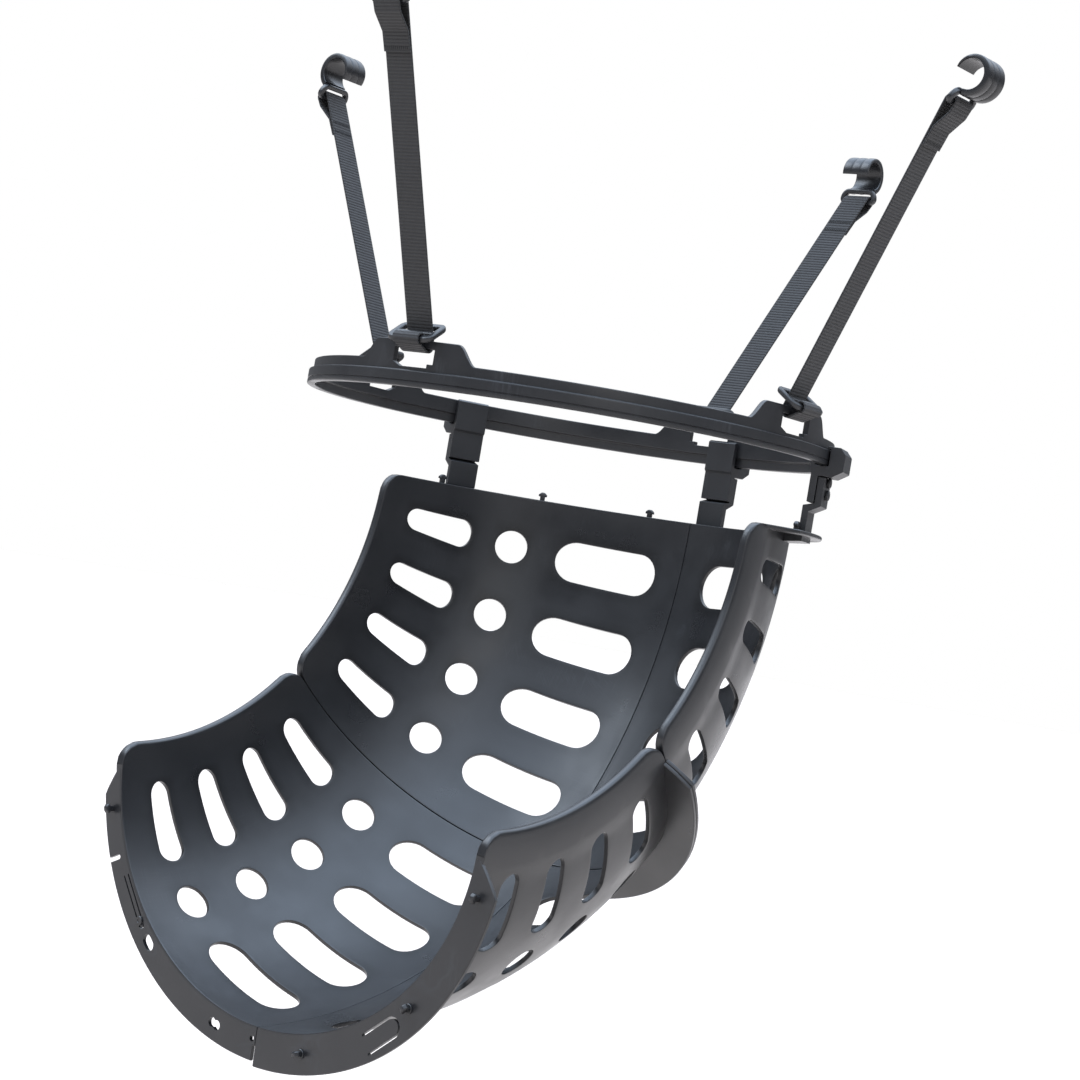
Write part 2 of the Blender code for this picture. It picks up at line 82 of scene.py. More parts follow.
# ---- shapes --------------------------------------------------------------------------------------

def rounded_box(width: float, height: float, radius: float, steps: int = 3) -> np.ndarray:
    """Closed outline of a rectangle with quarter-circle corners, anticlockwise, as (n, 2).

    Args:
        width: Size along the first coordinate.
        height: Size along the second coordinate.
        radius: Corner radius.
        steps: Segments in each corner.

    Returns:
        Points: each corner's centre plus radius times (cos, sin) of a quarter turn.
    """
    turn = np.linspace(0.0, math.pi / 2, steps + 1)
    starts = np.arange(4)[:, None] * math.pi / 2
    angle = starts + turn[None, :]
    signs = np.array([(1, 1), (-1, 1), (-1, -1), (1, -1)], float)
    centre = signs * (width / 2 - radius, height / 2 - radius)
    points = centre[:, None, :] + radius * np.stack([np.cos(angle), np.sin(angle)], -1)
    return points.reshape(-1, 2)


def arc(centre: tuple[float, float], radius: float, start: float, stop: float, steps: int) -> np.ndarray:
    """Points on an arc, as (steps + 1, 2): centre + radius * (cos, sin) of evenly spaced angles."""
    angle = np.radians(np.linspace(start, stop, steps + 1))
    return np.array(centre) + radius * np.stack([np.cos(angle), np.sin(angle)], -1)


def resample(path: np.ndarray, spacing: float) -> np.ndarray:
    """Path with points about evenly spaced: each coordinate interpolated over the run length."""
    run = np.concatenate([[0.0], np.cumsum(np.linalg.norm(np.diff(path, axis=0), axis=1))])
    count = max(int(run[-1] / spacing), 2) + 1
    even = np.linspace(0.0, run[-1], count)
    return np.stack([np.interp(even, run, path[:, i]) for i in range(path.shape[1])], -1)


def carry(profile: np.ndarray, path: np.ndarray) -> np.ndarray:
    """A profile carried along a path in the YZ plane.

    A point is path + a * X + b * N, where (a, b) is the profile's point and N is the path's normal, its
    tangent turned a quarter turn.

    Args:
        profile: (m, 2) or, where it changes along the path, (n, m, 2).
        path: (n, 2) of y and z.

    Returns:
        (n, m, 3) grid of points.
    """
    tangent = np.gradient(path, axis=0)
    tangent /= np.linalg.norm(tangent, axis=1, keepdims=True)
    normal = np.stack([-tangent[:, 1], tangent[:, 0]], -1)
    profile = np.broadcast_to(profile, (len(path), *profile.shape[-2:]))
    flat = path[:, None, :] + profile[..., 1:2] * normal[:, None, :]
    return np.concatenate([profile[..., 0:1], flat], -1)


def around(outline: np.ndarray, section: np.ndarray) -> np.ndarray:
    """A section's first coordinate set out along the normals of a closed flat outline, as (n, m, 2)."""
    tangent = np.roll(outline, -1, axis=0) - np.roll(outline, 1, axis=0)
    tangent /= np.linalg.norm(tangent, axis=1, keepdims=True)
    normal = np.stack([tangent[:, 1], -tangent[:, 0]], -1)
    return outline[:, None, :] + section[None, :, 0:1] * normal[:, None, :]


def grid_faces(rows: int, columns: int, wrap_rows: bool = False) -> np.ndarray:
    """Quads of a grid numbered row by row, its columns wrapped and its rows wrapped where asked."""
    r, c = np.meshgrid(np.arange(rows if wrap_rows else rows - 1), np.arange(columns), indexing="ij")
    r, c = r.ravel(), c.ravel()
    r2, c2 = (r + 1) % rows, (c + 1) % columns
    return np.stack([r * columns + c, r * columns + c2, r2 * columns + c2, r2 * columns + c], -1)


def swept(grid: np.ndarray, closed: bool = False) -> tuple[np.ndarray, list]:
    """Body from an (n, m, 3) grid of closed sections, with flat ends unless the path is closed."""
    rows, columns = grid.shape[:2]
    faces = grid_faces(rows, columns, wrap_rows=closed).tolist()
    if not closed:
        faces.append(list(range(columns)))
        faces.append(list(range((rows - 1) * columns, rows * columns))[::-1])
    return grid.reshape(-1, 3), faces


def merge(*bodies: tuple[np.ndarray, list]) -> tuple[np.ndarray, list]:
    """Several bodies as one list of points and faces."""
    points, faces, count = [], [], 0
    for body_points, body_faces in bodies:
        points.append(body_points)
        faces += [[i + count for i in face] for face in body_faces]
        count += len(body_points)
    return np.concatenate(points), faces


def placed(points: np.ndarray, place: Matrix) -> np.ndarray:
    """Points moved by a 4 by 4 placement: p R^T + t."""
    m = np.array(place)
    return points @ m[:3, :3].T + m[:3, 3]


def in_scene(name: str, data: bpy.types.ID) -> bpy.types.Object:
    """Object with the given data, linked to the scene."""
    thing = bpy.data.objects.new(name, data)
    bpy.context.scene.collection.objects.link(thing)
    return thing


def new_object(name: str, body: tuple[np.ndarray, list], angle: float = SMOOTH_ANGLE) -> bpy.types.Object:
    """Mesh object from points and faces, closed, facing out and smooth up to an angle.

    Args:
        name: Object name.
        body: Points (n, 3) in the row frame and faces.
        angle: Edges sharper than this stay sharp.

    Returns:
        The object, at the origin.
    """
    mesh = bpy.data.meshes.new(name)
    mesh.from_pydata(body[0].tolist(), [], body[1])
    mesh.update()
    thing = in_scene(name, mesh)
    outward(thing)
    mesh.shade_smooth()
    mesh.set_sharp_from_angle(angle=math.radians(angle))
    return thing


def solid(name: str, grid: np.ndarray, place: Matrix | None = None, angle: float = SMOOTH_ANGLE,
          closed: bool = False) -> bpy.types.Object:
    """Mesh object from an (n, m, 3) grid of closed sections, moved by a placement if one is given."""
    points, faces = swept(grid, closed)
    return new_object(name, (points if place is None else placed(points, place), faces), angle)


def keep_values(thing: bpy.types.Object, label: str, values: np.ndarray) -> None:
    """Keep one number for each point of the mesh as an attribute."""
    attribute = thing.data.attributes.new(label, "FLOAT", "POINT")
    attribute.data.foreach_set("value", values.astype(np.float32))


def outward(thing: bpy.types.Object) -> None:
    """Merge doubles and turn every face outwards."""
    work = bmesh.new()
    work.from_mesh(thing.data)
    bmesh.ops.remove_doubles(work, verts=work.verts, dist=1e-7)
    bmesh.ops.recalc_face_normals(work, faces=work.faces)
    work.to_mesh(thing.data)
    work.free()


def bevel(thing: bpy.types.Object, width: float, angle: float) -> bpy.types.Object:
    """Round the object's sharp edges and keep the result in its mesh."""
    step = thing.modifiers.new("round", "BEVEL")
    step.width = width
    step.segments = ROUND_STEPS
    step.limit_method = "ANGLE"
    step.angle_limit = math.radians(angle)
    step.use_clamp_overlap = False
    step.harden_normals = False
    return settle(thing)


def settle(thing: bpy.types.Object) -> bpy.types.Object:
    """Replace the mesh by what its modifiers make of it, smooth up to the usual angle."""
    settle_only(thing)
    thing.data.shade_smooth()
    thing.data.set_sharp_from_angle(angle=math.radians(SMOOTH_ANGLE))
    return thing


def settle_only(thing: bpy.types.Object) -> None:
    """Replace the mesh by what its modifiers make of it, its shading included."""
    bpy.context.view_layer.update()
    graph = bpy.context.evaluated_depsgraph_get()
    made = bpy.data.meshes.new_from_object(thing.evaluated_get(graph))
    thing.modifiers.clear()
    thing.data = made


def combine(target: bpy.types.Object, others: list[bpy.types.Object], operation: str) -> bpy.types.Object:
    """Join the others to the target or cut them from it, and remove them."""
    for other in others:
        step = target.modifiers.new("combine", "BOOLEAN")
        step.operation = operation
        step.solver = "EXACT"
        step.object = other
        settle(target)
    for other in others:
        bpy.data.objects.remove(other)
    return target


def frame_at(radius: float, azimuth: float, z: float = 0.0) -> Matrix:
    """Placement at a radius and azimuth, with local X along the ring and local Y outwards."""
    turn = Matrix.Rotation(math.radians(azimuth), 4, "Z")
    return Matrix.Translation((0.0, 0.0, FLANGE_Z + z)) @ turn @ Matrix.Translation((0.0, radius, 0.0))


# ---- finishes ------------------------------------------------------------------------------------

class Tree:
    """Small writer of shader nodes."""

    def __init__(self, tree: bpy.types.NodeTree) -> None:
        """Keep the tree."""
        self.tree = tree

    def add(self, kind: str, inputs: dict | None = None, **settings: object) -> bpy.types.Node:
        """Add a node, set its properties, and set or link its inputs.

        Args:
            kind: Node type without the ShaderNode prefix.
            inputs: Input name or index to a socket or a value.
            **settings: Node properties.

        Returns:
            The node.
        """
        node = self.tree.nodes.new("ShaderNode" + kind)
        for key, value in settings.items():
            setattr(node, key, value)
        for key, value in (inputs or {}).items():
            if isinstance(value, bpy.types.NodeSocket):
                self.tree.links.new(value, node.inputs[key])
            else:
                node.inputs[key].default_value = value
        return node

    def math(self, operation: str, a: object, b: object = 0.0, clamp: bool = False) -> bpy.types.NodeSocket:
        """Result of a maths node."""
        return self.add("Math", {0: a, 1: b}, operation=operation, use_clamp=clamp).outputs[0]

    def plus(self, a: object, b: object, clamp: bool = False) -> bpy.types.NodeSocket:
        """Sum of two values."""
        return self.math("ADD", a, b, clamp)

    def times(self, a: object, b: object, clamp: bool = False) -> bpy.types.NodeSocket:
        """Product of two values."""
        return self.math("MULTIPLY", a, b, clamp)

    def group(self, group: bpy.types.NodeTree, **inputs: object) -> bpy.types.Node:
        """Place a node group and set or link its inputs."""
        return self.add("Group", inputs, node_tree=group)

    def mix(self, factor: object, a: object, b: object, blend: str = "MIX") -> bpy.types.NodeSocket:
        """Blend of two colours."""
        return self.add("Mix", {0: factor, 6: a, 7: b}, data_type="RGBA", blend_type=blend).outputs[2]

    def ramp(self, value: bpy.types.NodeSocket, low: float, high: float) -> bpy.types.NodeSocket:
        """Smooth step of a value from 0 at low to 1 at high."""
        return self.add("MapRange", {"Value": value, "From Min": low, "From Max": high},
                        interpolation_type="SMOOTHSTEP").outputs[0]

    def noise(self, vector: object, scale: float, detail: float = 3.0,
              rough: float = 0.55) -> bpy.types.NodeSocket:
        """Factor of a noise texture."""
        inputs = {"Vector": vector, "Scale": scale, "Detail": detail, "Roughness": rough}
        return self.add("TexNoise", inputs).outputs[0]


def new_group(name: str, inputs: tuple[str, ...],
              outputs: tuple[str, ...]) -> tuple[bpy.types.NodeTree, Tree, bpy.types.Node, bpy.types.Node]:
    """Shader node group with named sockets: Vector is a vector, and every other socket is a number.

    Args:
        name: Group name.
        inputs: Input names.
        outputs: Output names.

    Returns:
        The group, its writer, its input node and its output node.
    """
    group = bpy.data.node_groups.new(name, "ShaderNodeTree")
    for way, labels in (("INPUT", inputs), ("OUTPUT", outputs)):
        for label in labels:
            kind = "NodeSocketVector" if label == "Vector" else "NodeSocketFloat"
            group.interface.new_socket(label, in_out=way, socket_type=kind)
    tree = Tree(group)
    return group, tree, group.nodes.new("NodeGroupInput"), group.nodes.new("NodeGroupOutput")


def scuff_group() -> bpy.types.NodeTree:
    """Handling marks: thin scratches where a stretched noise crosses its middle, broken up by patches."""
    group, tree, given, out = new_group("scuffs", ("Vector", "Amount"), ("Mask",))
    marks = []
    for turn, stretch in (((0.4, 0.2, 0.9), (900.0, 14.0, 14.0)), ((1.3, 0.7, 2.2), (18.0, 760.0, 18.0))):
        turned = tree.add("Mapping", {"Vector": given.outputs["Vector"], "Rotation": turn, "Scale": stretch})
        line = tree.math("ABSOLUTE", tree.math("SUBTRACT", tree.noise(turned.outputs[0], 1.0, 2.0), 0.5))
        marks.append(tree.math("SUBTRACT", 1.0, tree.ramp(line, 0.0, 0.03)))
    both = tree.math("MAXIMUM", marks[0], marks[1])
    patch = tree.ramp(tree.noise(given.outputs["Vector"], 22.0, 3.0), 0.52, 0.72)
    kept = tree.times(tree.times(both, patch), given.outputs["Amount"], clamp=True)
    tree.tree.links.new(kept, out.inputs["Mask"])
    return group


def dust_group() -> bpy.types.NodeTree:
    """Fine dust: more on faces that look up, in soft patches with small specks."""
    group, tree, given, out = new_group("dust", ("Vector", "Amount"), ("Mask",))
    up = tree.add("SeparateXYZ", {0: tree.add("NewGeometry").outputs["Normal"]}).outputs[2]
    lying = tree.ramp(up, -0.3, 1.0)
    patch = tree.ramp(tree.noise(given.outputs["Vector"], 31.0, 5.0, 0.65), 0.45, 0.75)
    speck = tree.ramp(tree.noise(given.outputs["Vector"], 900.0, 2.0), 0.68, 0.78)
    speck = tree.times(speck, 0.6)
    both = tree.plus(tree.times(lying, patch), speck, clamp=True)
    tree.tree.links.new(tree.times(both, given.outputs["Amount"], clamp=True), out.inputs["Mask"])
    return group


def grain_group() -> bpy.types.NodeTree:
    """Moulded surface: slow flow marks and a fine grain, as a height and a mottle."""
    group, tree, given, out = new_group("moulded_grain", ("Vector", "Grain", "Flow"),
                                        ("Height", "Mottle"))
    slow = tree.noise(given.outputs["Vector"], 26.0, 4.0, 0.5)
    fine = tree.noise(given.outputs["Vector"], 1500.0, 2.0)
    height = tree.plus(tree.times(slow, given.outputs["Flow"]),
                       tree.times(fine, given.outputs["Grain"]))
    tree.tree.links.new(height, out.inputs["Height"])
    tree.tree.links.new(tree.ramp(slow, 0.3, 0.7), out.inputs["Mottle"])
    return group


def weave_group() -> bpy.types.NodeTree:
    """Ribbed webbing: ribs across the strap, each a row of yarns shifted by half a yarn from rib to rib.

    Height is the product of |sin| along the strap and a softer |sin| across it.
    """
    group, tree, given, out = new_group("weave", ("Along", "Across", "Rib", "Yarn"),
                                        ("Height", "Thread"))
    rows = tree.math("DIVIDE", given.outputs["Along"], given.outputs["Rib"])
    shift = tree.times(tree.math("FLOOR", rows), 0.5)
    yarns = tree.plus(tree.math("DIVIDE", given.outputs["Across"], given.outputs["Yarn"]), shift)
    rib = tree.math("ABSOLUTE", tree.math("SINE", tree.times(rows, math.pi)))
    yarn = tree.math("ABSOLUTE", tree.math("SINE", tree.times(yarns, math.pi)))
    rib_round = tree.math("POWER", rib, 0.6)
    yarn_round = tree.plus(tree.times(tree.math("POWER", yarn, 0.5), 0.25), 0.75)
    height = tree.times(rib_round, yarn_round)
    tree.tree.links.new(height, out.inputs["Height"])
    tree.tree.links.new(tree.math("FRACT", tree.times(tree.math("FLOOR", yarns), 0.37)),
                        out.inputs["Thread"])
    return group


def painted(name: str) -> tuple[bpy.types.Material, Tree, bpy.types.Node]:
    """New material with its writer and its Principled shader."""
    made = bpy.data.materials.new(name)
    made.use_nodes = True
    return made, Tree(made.node_tree), made.node_tree.nodes["Principled BSDF"]


@dataclass(frozen=True)
class MouldedFinish:
    """Black moulded plastic, its colour darkened towards the openings' edges as painted shade where the mesh
    carries a weight for it.

    Attributes:
        name: Material name.
        colour: Base colour, linear.
        worn: Colour of scuffs and dust.
        roughness: Middle roughness.
        spread: How far the roughness varies.
        scuffs: Amount of scratches.
        dust: Amount of dust.
        flow: Height of the slow mould marks, in metres.
        grain: Height of the fine grain, in metres.
        scratch: Depth of the scratches, in metres.
    """

    name: str
    colour: tuple[float, float, float] = (0.0130, 0.0135, 0.0150)
    worn: tuple[float, float, float] = (0.050, 0.054, 0.062)
    roughness: float = 0.36
    spread: float = 0.12
    scuffs: float = 0.45
    dust: float = 0.10
    flow: float = 0.00012
    grain: float = 0.000012
    scratch: float = 0.000004

    def material(self, groups: dict[str, bpy.types.NodeTree]) -> bpy.types.Material:
        """Build the material.

        Args:
            groups: Shared node groups by name.

        Returns:
            The material.
        """
        made, tree, shader = painted(self.name)
        link = tree.tree.links.new
        where = tree.add("TexCoord").outputs["Object"]
        grain = tree.group(groups["grain"], Vector=where, Grain=self.grain, Flow=self.flow)
        scuffs = tree.group(groups["scuffs"], Vector=where, Amount=self.scuffs)
        dust = tree.group(groups["dust"], Vector=where, Amount=self.dust)
        # Painted shade: the per-point attribute read here darkens the base colour towards each opening's
        # edge, down to 0.55 of it.
        lip = tree.add("Attribute", attribute_name="lip").outputs["Fac"]
        worn = tree.math("MAXIMUM", tree.times(scuffs.outputs["Mask"], 0.55), dust.outputs["Mask"])
        colour = tree.mix(worn, (*self.colour, 1.0), (*self.worn, 1.0))
        hole_edge_darkening = tree.math("SUBTRACT", 1.0, tree.times(lip, 0.45))
        shade = tree.mix(1.0, colour, hole_edge_darkening, "MULTIPLY")
        link(shade, shader.inputs["Base Color"])
        rough = tree.plus(self.roughness - self.spread / 2,
                          tree.times(grain.outputs["Mottle"], self.spread))
        rough = tree.plus(rough, tree.times(worn, 0.35), clamp=True)
        link(rough, shader.inputs["Roughness"])
        marks = tree.math("SUBTRACT", grain.outputs["Height"],
                          tree.times(scuffs.outputs["Mask"], self.scratch))
        bump = tree.add("Bump", {"Height": marks, "Distance": 1.0, "Strength": 0.8})
        link(bump.outputs[0], shader.inputs["Normal"])
        shader.inputs["Specular IOR Level"].default_value = 0.5
        return made


@dataclass(frozen=True)
class WebbingFinish:
    """Black ribbed webbing or thread, painted darker in the weave's grooves and lighter on its crests.

    Attributes:
        name: Material name.
        colour: Base colour, linear.
        rib: Distance between ribs along the strap.
        yarn: Distance between yarns across it.
        depth: Height of the ribs.
        dust: Amount of dust.
        fuzz: Height of the loose fibres.
    """

    name: str
    colour: tuple[float, float, float] = (0.0052, 0.0052, 0.0058)
    rib: float = 0.0021
    yarn: float = 0.0013
    depth: float = 0.00035
    dust: float = 0.10
    fuzz: float = 0.00005

    def material(self, groups: dict[str, bpy.types.NodeTree]) -> bpy.types.Material:
        """Build the material.

        Args:
            groups: Shared node groups by name.

        Returns:
            The material.
        """
        made, tree, shader = painted(self.name)
        link = tree.tree.links.new
        where = tree.add("TexCoord").outputs["Object"]
        along = tree.add("Attribute", attribute_name="along").outputs["Fac"]
        across = tree.add("Attribute", attribute_name="across").outputs["Fac"]
        weave = tree.group(groups["weave"], Along=along, Across=across, Rib=self.rib, Yarn=self.yarn)
        dust = tree.group(groups["dust"], Vector=where, Amount=self.dust)
        fuzz = tree.noise(where, 2600.0, 3.0)
        # Painted shade and highlight: the colour runs from a dark end in the weave's grooves to a light end
        # on its crests, by the weave's height; each yarn's own tone adds a small real variation.
        groove_shade_and_yarn_tone = tree.plus(tree.times(weave.outputs["Height"], 0.75),
                         tree.times(weave.outputs["Thread"], 0.22))
        crest_highlight_colour = tuple(2.6 * c for c in self.colour)
        groove_shade_colour = tuple(0.25 * c for c in self.colour)
        colour = tree.mix(groove_shade_and_yarn_tone, (*groove_shade_colour, 1.0), (*crest_highlight_colour, 1.0))
        dusty = tree.mix(dust.outputs["Mask"], colour, (0.05, 0.05, 0.052, 1.0))
        link(dusty, shader.inputs["Base Color"])
        link(tree.math("SUBTRACT", 0.86, tree.times(weave.outputs["Height"], 0.22)),
             shader.inputs["Roughness"])
        height = tree.plus(tree.times(weave.outputs["Height"], self.depth),
                           tree.times(fuzz, self.fuzz))
        link(tree.add("Bump", {"Height": height, "Distance": 1.0, "Strength": 1.0}).outputs[0],
             shader.inputs["Normal"])
        shader.inputs["Sheen Weight"].default_value = 0.12
        shader.inputs["Sheen Roughness"].default_value = 0.5
        return made


@dataclass(frozen=True)
class Wardrobe:
    """All finished materials of the object."""

    ring: bpy.types.Material
    panel: bpy.types.Material
    fitting: bpy.types.Material
    hook: bpy.types.Material
    webbing: bpy.types.Material
    thread: bpy.types.Material


def make_wardrobe() -> Wardrobe:
    """Build the shared groups and every material."""
    groups = {"scuffs": scuff_group(), "dust": dust_group(), "grain": grain_group(), "weave": weave_group()}
    return Wardrobe(
        ring=MouldedFinish("ring_plastic", roughness=0.34, scuffs=0.5).material(groups),
        panel=MouldedFinish("panel_plastic", roughness=0.33, scuffs=0.4, dust=0.12).material(groups),
        fitting=MouldedFinish("fitting_plastic", roughness=0.42, scuffs=0.35).material(groups),
        hook=MouldedFinish("hook_plastic", roughness=0.30, scuffs=0.5, dust=0.15).material(groups),
        webbing=WebbingFinish("ribbed_webbing").material(groups),
        thread=WebbingFinish("sewing_thread", colour=(0.014, 0.014, 0.016), rib=0.0006, yarn=0.0006,
                             depth=0.0001).material(groups),
    )


def dress(thing: bpy.types.Object, finish: bpy.types.Material, body: str, slot: str, *nodes: str) -> None:
    """Give a piece even shading, its material and its body, hide the imported parts of the nodes it stands
    for, and report it.

    Args:
        thing: The piece.
        finish: Its material.
        body: The body it rides on.
        slot: Not used.
        *nodes: Nodes it stands for.
    """
    even = thing.modifiers.new("even_shading", "WEIGHTED_NORMAL")
    even.keep_sharp = True
    even.weight = 80
    settle_only(thing)
    thing.data.materials.clear()
    thing.data.materials.append(finish)
    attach(thing, body)
    if nodes:
        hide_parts(*nodes)
    LOG.info("%s: %d points on %s", thing.name, len(thing.data.vertices), body)


# ---- chute ---------------------------------------------------------------------------------------

@dataclass(frozen=True)
class Opening:
    """One kind of opening in a panel.

    Attributes:
        middle: Pipe angle of its centre.
        half_angle: Half its length round the pipe, in degrees.
        half_height: Half its height along the bend.
        low: Pipe angle where its cell starts.
        high: Pipe angle where its cell ends.
        across: Lattice steps round the pipe in its cell.
        taper: How much narrower it is at its rim end, in metres.
    """

    middle: float
    half_angle: float
    half_height: float
    low: float
    high: float
    across: int
    taper: float = 0.0


OPENINGS = (Opening(23.3, 14.9, 0.0146, 4.5, 43.0, 18), Opening(50.7, 4.4, 0.0115, 43.0, 58.5, 8),
            Opening(71.8, 9.8, 0.0086, 58.5, 84.0, 14, 0.0008))


@dataclass
class ChutePanel:
    """One moulded panel: a perforated quarter of the elbow with end flanges, a seam rib and snap studs."""

    side: Side
    level: Level
    wardrobe: Wardrobe
    bend_radius: float = 0.207
    half_width: float = 0.1538
    depth: float = 0.1432
    turn: float = TURN
    wall: float = 0.0030
    rim_thick: float = 0.0062
    rim_rise: float = 0.004
    rim_corner: float = 0.014
    rim_round: float = 0.0019
    row_first: float = 6.95
    row_pitch: float = 9.68
    row_steps: int = 8
    # Painted shade on the rings round each opening: 0 on the ring farthest from it, full at its edge.
    rings: tuple[float, ...] = (0.45, 0.8, 1.0)
    hole_edge_shades: tuple[float, ...] = (0.0, 0.75, 1.0)
    seam_lines: tuple[float, ...] = (0.0, 1.5, 3.0)
    rows: int = 4
    end_inset: float = 0.0001
    boss_size: float = 0.0030
    flange_thick: float = 0.0026
    end_lines: tuple[float, ...] = (0.0, 0.27, 0.65, 1.15, 1.65)
    rim_lines: tuple[float, ...] = (0.0, 0.36, 0.62, 0.78, 0.87, 0.935, 0.975, 1.0)
    studs: dict = field(default_factory=lambda: {
        (Side.LEFT, Level.UPPER): ((17.0, 0.164), (44.7, 0.162), (72.0, 0.160)),
        (Side.RIGHT, Level.UPPER): ((71.0, 0.163),),
        (Side.LEFT, Level.LOWER): ((76.0, 0.162),),
        (Side.RIGHT, Level.LOWER): ((14.5, 0.1556), (48.5, 0.159), (78.0, 0.1627))})

    @property
    def name(self) -> str:
        """The frame's node name."""
        return f"panel_{self.level.word}_{self.side.word}"

    def pipe_radius(self, phi: np.ndarray) -> np.ndarray:
        """Inner radius of the half ellipse: 1 / hypot(sin / half width, cos / depth)."""
        angle = np.radians(phi)
        return 1.0 / np.hypot(np.sin(angle) / self.half_width, np.cos(angle) / self.depth)

    def rim_phi(self, bend: np.ndarray) -> np.ndarray:
        """Pipe angle of the rim: a level line whose ends fall away on a quarter circle."""
        run = np.radians(np.minimum(bend, self.turn - bend)) * self.bend_radius
        inside = np.clip(self.rim_corner - run, 0.0, self.rim_corner)
        drop = self.rim_corner - np.sqrt(self.rim_corner ** 2 - inside ** 2)
        return 90.0 + np.degrees(np.arcsin((self.rim_rise - drop) / self.half_width))

    def place(self, bend: np.ndarray, phi: np.ndarray, radius: np.ndarray, shift: np.ndarray | float = 0.0,
              sideways: np.ndarray | float = 0.0) -> np.ndarray:
        """Points of the elbow in the row frame.

        With w = bend radius + radius * cos(phi), a point is (side * radius * sin(phi),
        -bend radius + w * cos(bend), -w * sin(bend)), moved along the bend by shift and away from the seam by
        sideways.

        Args:
            bend: Bend angle from the top flange.
            phi: Pipe angle from the bottom seam.
            radius: Distance from the pipe's axis.
            shift: Length along the bend.
            sideways: Length along X, away from the seam.

        Returns:
            Points (..., 3).
        """
        turn, angle = np.radians(bend), np.radians(phi)
        reach = self.bend_radius + radius * np.cos(angle)
        x = self.side.value * (radius * np.sin(angle) + sideways)
        y = -self.bend_radius + reach * np.cos(turn) - shift * np.sin(turn)
        z = FLANGE_Z - reach * np.sin(turn) - shift * np.cos(turn)
        return np.stack(np.broadcast_arrays(x, y, z), -1)

    def opening_loop(self, opening: Opening, centre: float) -> np.ndarray:
        """Edge of one opening as (n, 2) of bend and pipe angle, matched to the points round its cell.

        In lengths x round the pipe and y along the bend it is a long slot: y = -+ sqrt(h^2 - over^2) on its
        sides, with over the part of |x| past the straight run, and quarter turns of radius h at its ends.
        """
        h = opening.half_height
        radius = float(self.pipe_radius(np.array(opening.middle)))
        straight = max(math.radians(opening.half_angle) * radius - h, 0.0)
        turn = np.radians(np.linspace(45.0, 0.0, 4, endpoint=False))
        run = np.linspace(-straight, straight, opening.across - 7)
        x_side = np.concatenate([-straight - h * np.sin(turn), run, straight + h * np.sin(turn[:0:-1])])
        y_side = np.sqrt(h * h - np.maximum(np.abs(x_side) - straight, 0.0) ** 2)
        angle = np.radians(-45.0 + 90.0 * np.arange(self.row_steps) / self.row_steps)
        x_end, y_end = straight + h * np.cos(angle), h * np.sin(angle)
        x = np.concatenate([x_side, x_end, -x_side, -x_end])
        y = np.concatenate([-y_side, y_end, y_side, -y_end])
        y = y * (1.0 - opening.taper / h * x / (straight + h))
        reach = self.bend_radius + radius * math.cos(math.radians(opening.middle))
        return np.stack([centre + np.degrees(y / reach), opening.middle + np.degrees(x / radius)], -1)

    def lattice(self) -> tuple[np.ndarray, np.ndarray, np.ndarray, np.ndarray]:
        """Flat layout of the wall.

        Returns:
            Points (n, 2) of bend and pipe angle, quads (m, 4), each point's weight of painted shade at the
            openings' edges, and how far along the rim strip, 0 to 1, it lies.
        """
        first = self.row_first - self.row_pitch / 2
        rows = first + self.row_pitch * np.arange(self.rows + 1)
        inner = np.concatenate([np.linspace(a, b, self.row_steps, endpoint=False)
                                for a, b in zip(rows, rows[1:])])
        ends = np.array(self.end_lines)
        bends = np.concatenate([ends, inner, [rows[-1]], self.turn - ends[::-1]])
        phis = [np.array(self.seam_lines)]
        phis += [np.linspace(o.low, o.high, o.across, endpoint=False) for o in OPENINGS]
        strip = np.array(self.rim_lines)
        solid = sum(len(p) for p in phis)
        phis = np.concatenate([*phis, np.full(len(strip), OPENINGS[-1].high)])
        along_rim = np.concatenate([np.zeros(solid), strip])
        width = len(phis)
        bend, phi = np.meshgrid(bends, phis, indexing="ij")
        share = np.broadcast_to(along_rim, phi.shape)
        phi = phi + share * (self.rim_phi(bend) - OPENINGS[-1].high)
        flat = [np.stack([bend, phi], -1).reshape(-1, 2)]
        hole_edge_shade_weights, rim = [np.zeros(bend.size)], [share.ravel()]
        keep = np.ones((len(bends) - 1, width - 1), bool)
        quads = []
        count = flat[0].shape[0]
        for row in range(self.rows):
            r0 = len(ends) + row * self.row_steps
            c0 = len(self.seam_lines)
            for opening in OPENINGS:
                keep[r0:r0 + self.row_steps, c0:c0 + opening.across] = False
                c = np.arange(opening.across)
                r = np.arange(self.row_steps)
                border = np.concatenate([r0 * width + c0 + c, (r0 + r) * width + c0 + opening.across,
                                         (r0 + self.row_steps) * width + c0 + opening.across - c,
                                         (r0 + self.row_steps - r) * width + c0])
                loop = self.opening_loop(opening, self.row_first + self.row_pitch * row)
                outer = flat[0][border]
                previous = border
                # Each ring round the opening gets its weight of painted shade, darkest at the edge.
                for share_in, weight in zip(self.rings, self.hole_edge_shades):
                    flat.append(outer * (1.0 - share_in) + loop * share_in)
                    hole_edge_shade_weights.append(np.full(len(loop), weight))
                    rim.append(np.zeros(len(loop)))
                    current = count + np.arange(len(loop))
                    count += len(loop)
                    sides = previous, np.roll(previous, -1), np.roll(current, -1), current
                    quads.append(np.stack(sides, -1))
                    previous = current
                c0 += opening.across
        r, c = np.nonzero(keep)
        low = r * width + c
        quads.append(np.stack([low, low + 1, low + width + 1, low + width], -1))
        return np.concatenate(flat), np.concatenate(quads), np.concatenate(hole_edge_shade_weights), np.concatenate(rim)

